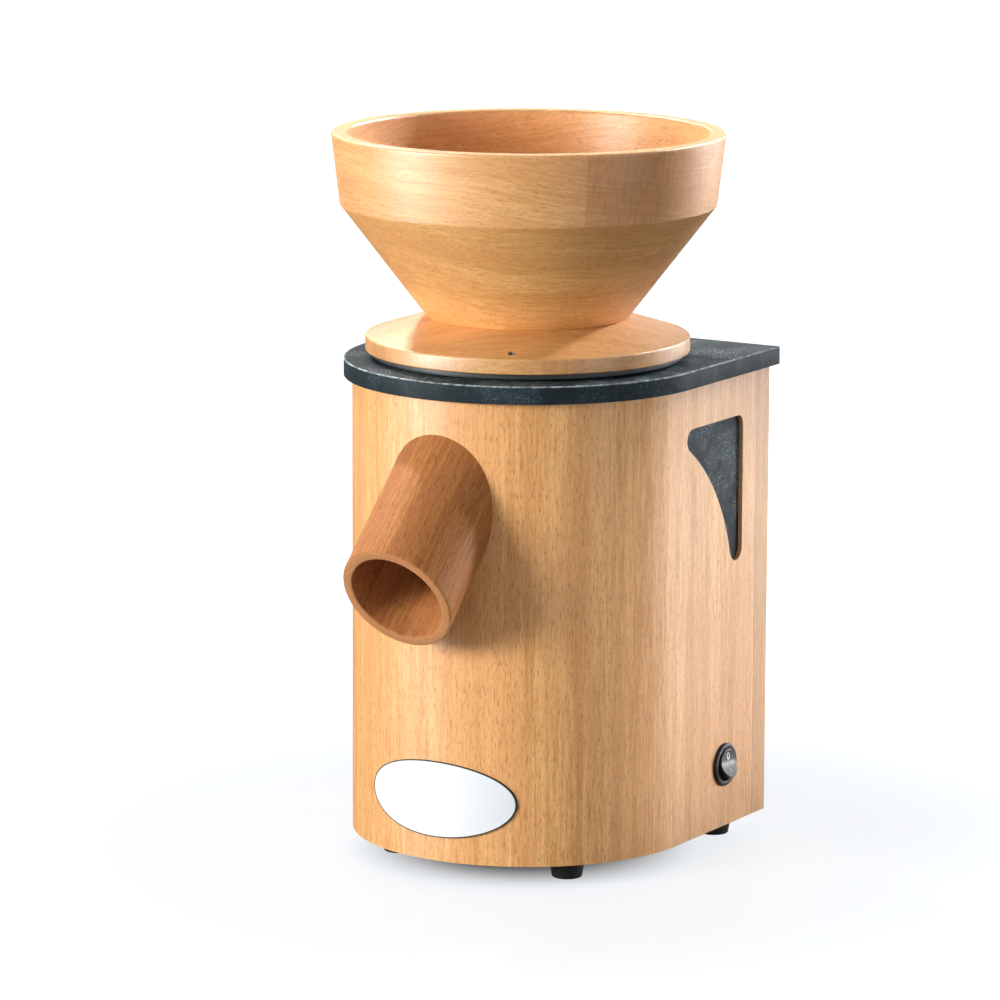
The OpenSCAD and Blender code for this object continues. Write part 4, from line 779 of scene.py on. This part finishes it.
# azimuth is round from the camera's side of the mill, positive to the camera's right; level is the
# brightness that the lamp alone gives a white card facing it. A lamp with a spread is a beam of its own
# width and height, and lights what stands in it
lamps = {
    "left_softbox": {"azimuth": -60, "rise": 12, "distance": 2.2, "size": (0.8, 0.7), "level": 1.17,
                     "colour": (1, 0.97, 0.93)},
    "left_sheen": {"azimuth": -74, "rise": 0, "distance": 2.2, "size": (0.6, 0.44), "level": 0.9,
                   "colour": (1, 0.98, 0.95), "glossOnly": True},
    "left_rear": {"azimuth": -150, "rise": 43, "distance": 1.4, "size": (0.45, 0.24), "level": 1.1,
                  "colour": (1, 0.98, 0.95), "spread": 5, "height": 0.39},
    "front_beam": {"azimuth": 12, "rise": 0, "distance": 1.4, "size": (0.6, 0.26), "level": 0.07,
                   "colour": (1, 0.98, 0.95), "spread": 8, "height": 0.131},
    "right_fill": {"azimuth": 50, "rise": 2, "distance": 2.2, "size": (0.9, 0.4), "level": 0.18,
                   "colour": (1, 0.99, 0.98)},
    "right_beam": {"azimuth": 108, "rise": 0, "distance": 1.4, "size": (0.7, 0.26), "level": 0.75,
                   "colour": (0.98, 0.98, 1), "spread": 8, "height": 0.131},
    "right_sheen": {"azimuth": 127, "rise": 0, "distance": 2.2, "size": (1.0, 0.44), "level": 0.37,
                    "colour": (0.96, 0.98, 1), "glossOnly": True},
    "right_rear": {"azimuth": 130, "rise": 27, "distance": 1.4, "size": (0.45, 0.24), "level": 1.6,
                   "colour": (0.96, 0.98, 1), "spread": 8, "height": 0.39},
}


def makeLamp(name, settings):
    s = settings
    aim = Vector((*room["aim"][:2], s.get("height", room["aim"][2])))
    bearing = math.radians(camera["azimuth"] + s["azimuth"])
    rise = math.radians(s["rise"])
    offset = Vector((math.sin(bearing) * math.cos(rise), -math.cos(bearing) * math.cos(rise), math.sin(rise)))
    lampData = bpy.data.lights.new(name, "AREA")
    lampData.shape = "RECTANGLE"
    lampData.size, lampData.size_y = s["size"]
    lampData.energy = s["level"] * math.pi ** 2 * s["distance"] ** 2
    if "spread" in s:
        lampData.spread = math.radians(s["spread"])
        lampData.energy = s["level"] * math.pi * s["size"][0] * s["size"][1]
    lampData.color = s["colour"]
    lamp = bpy.data.objects.new(name, lampData)
    lamp.location = aim + offset * s["distance"]
    lamp.rotation_euler = (-offset).to_track_quat("-Z", "Y").to_euler()
    lamp.visible_diffuse = not s.get("glossOnly", False)
    scene.collection.objects.link(lamp)


makeFloor(room)
makeWorld(room)
for lampName, lampSettings in lamps.items():
    makeLamp(lampName, lampSettings)
scene.view_settings.view_transform = "Standard"
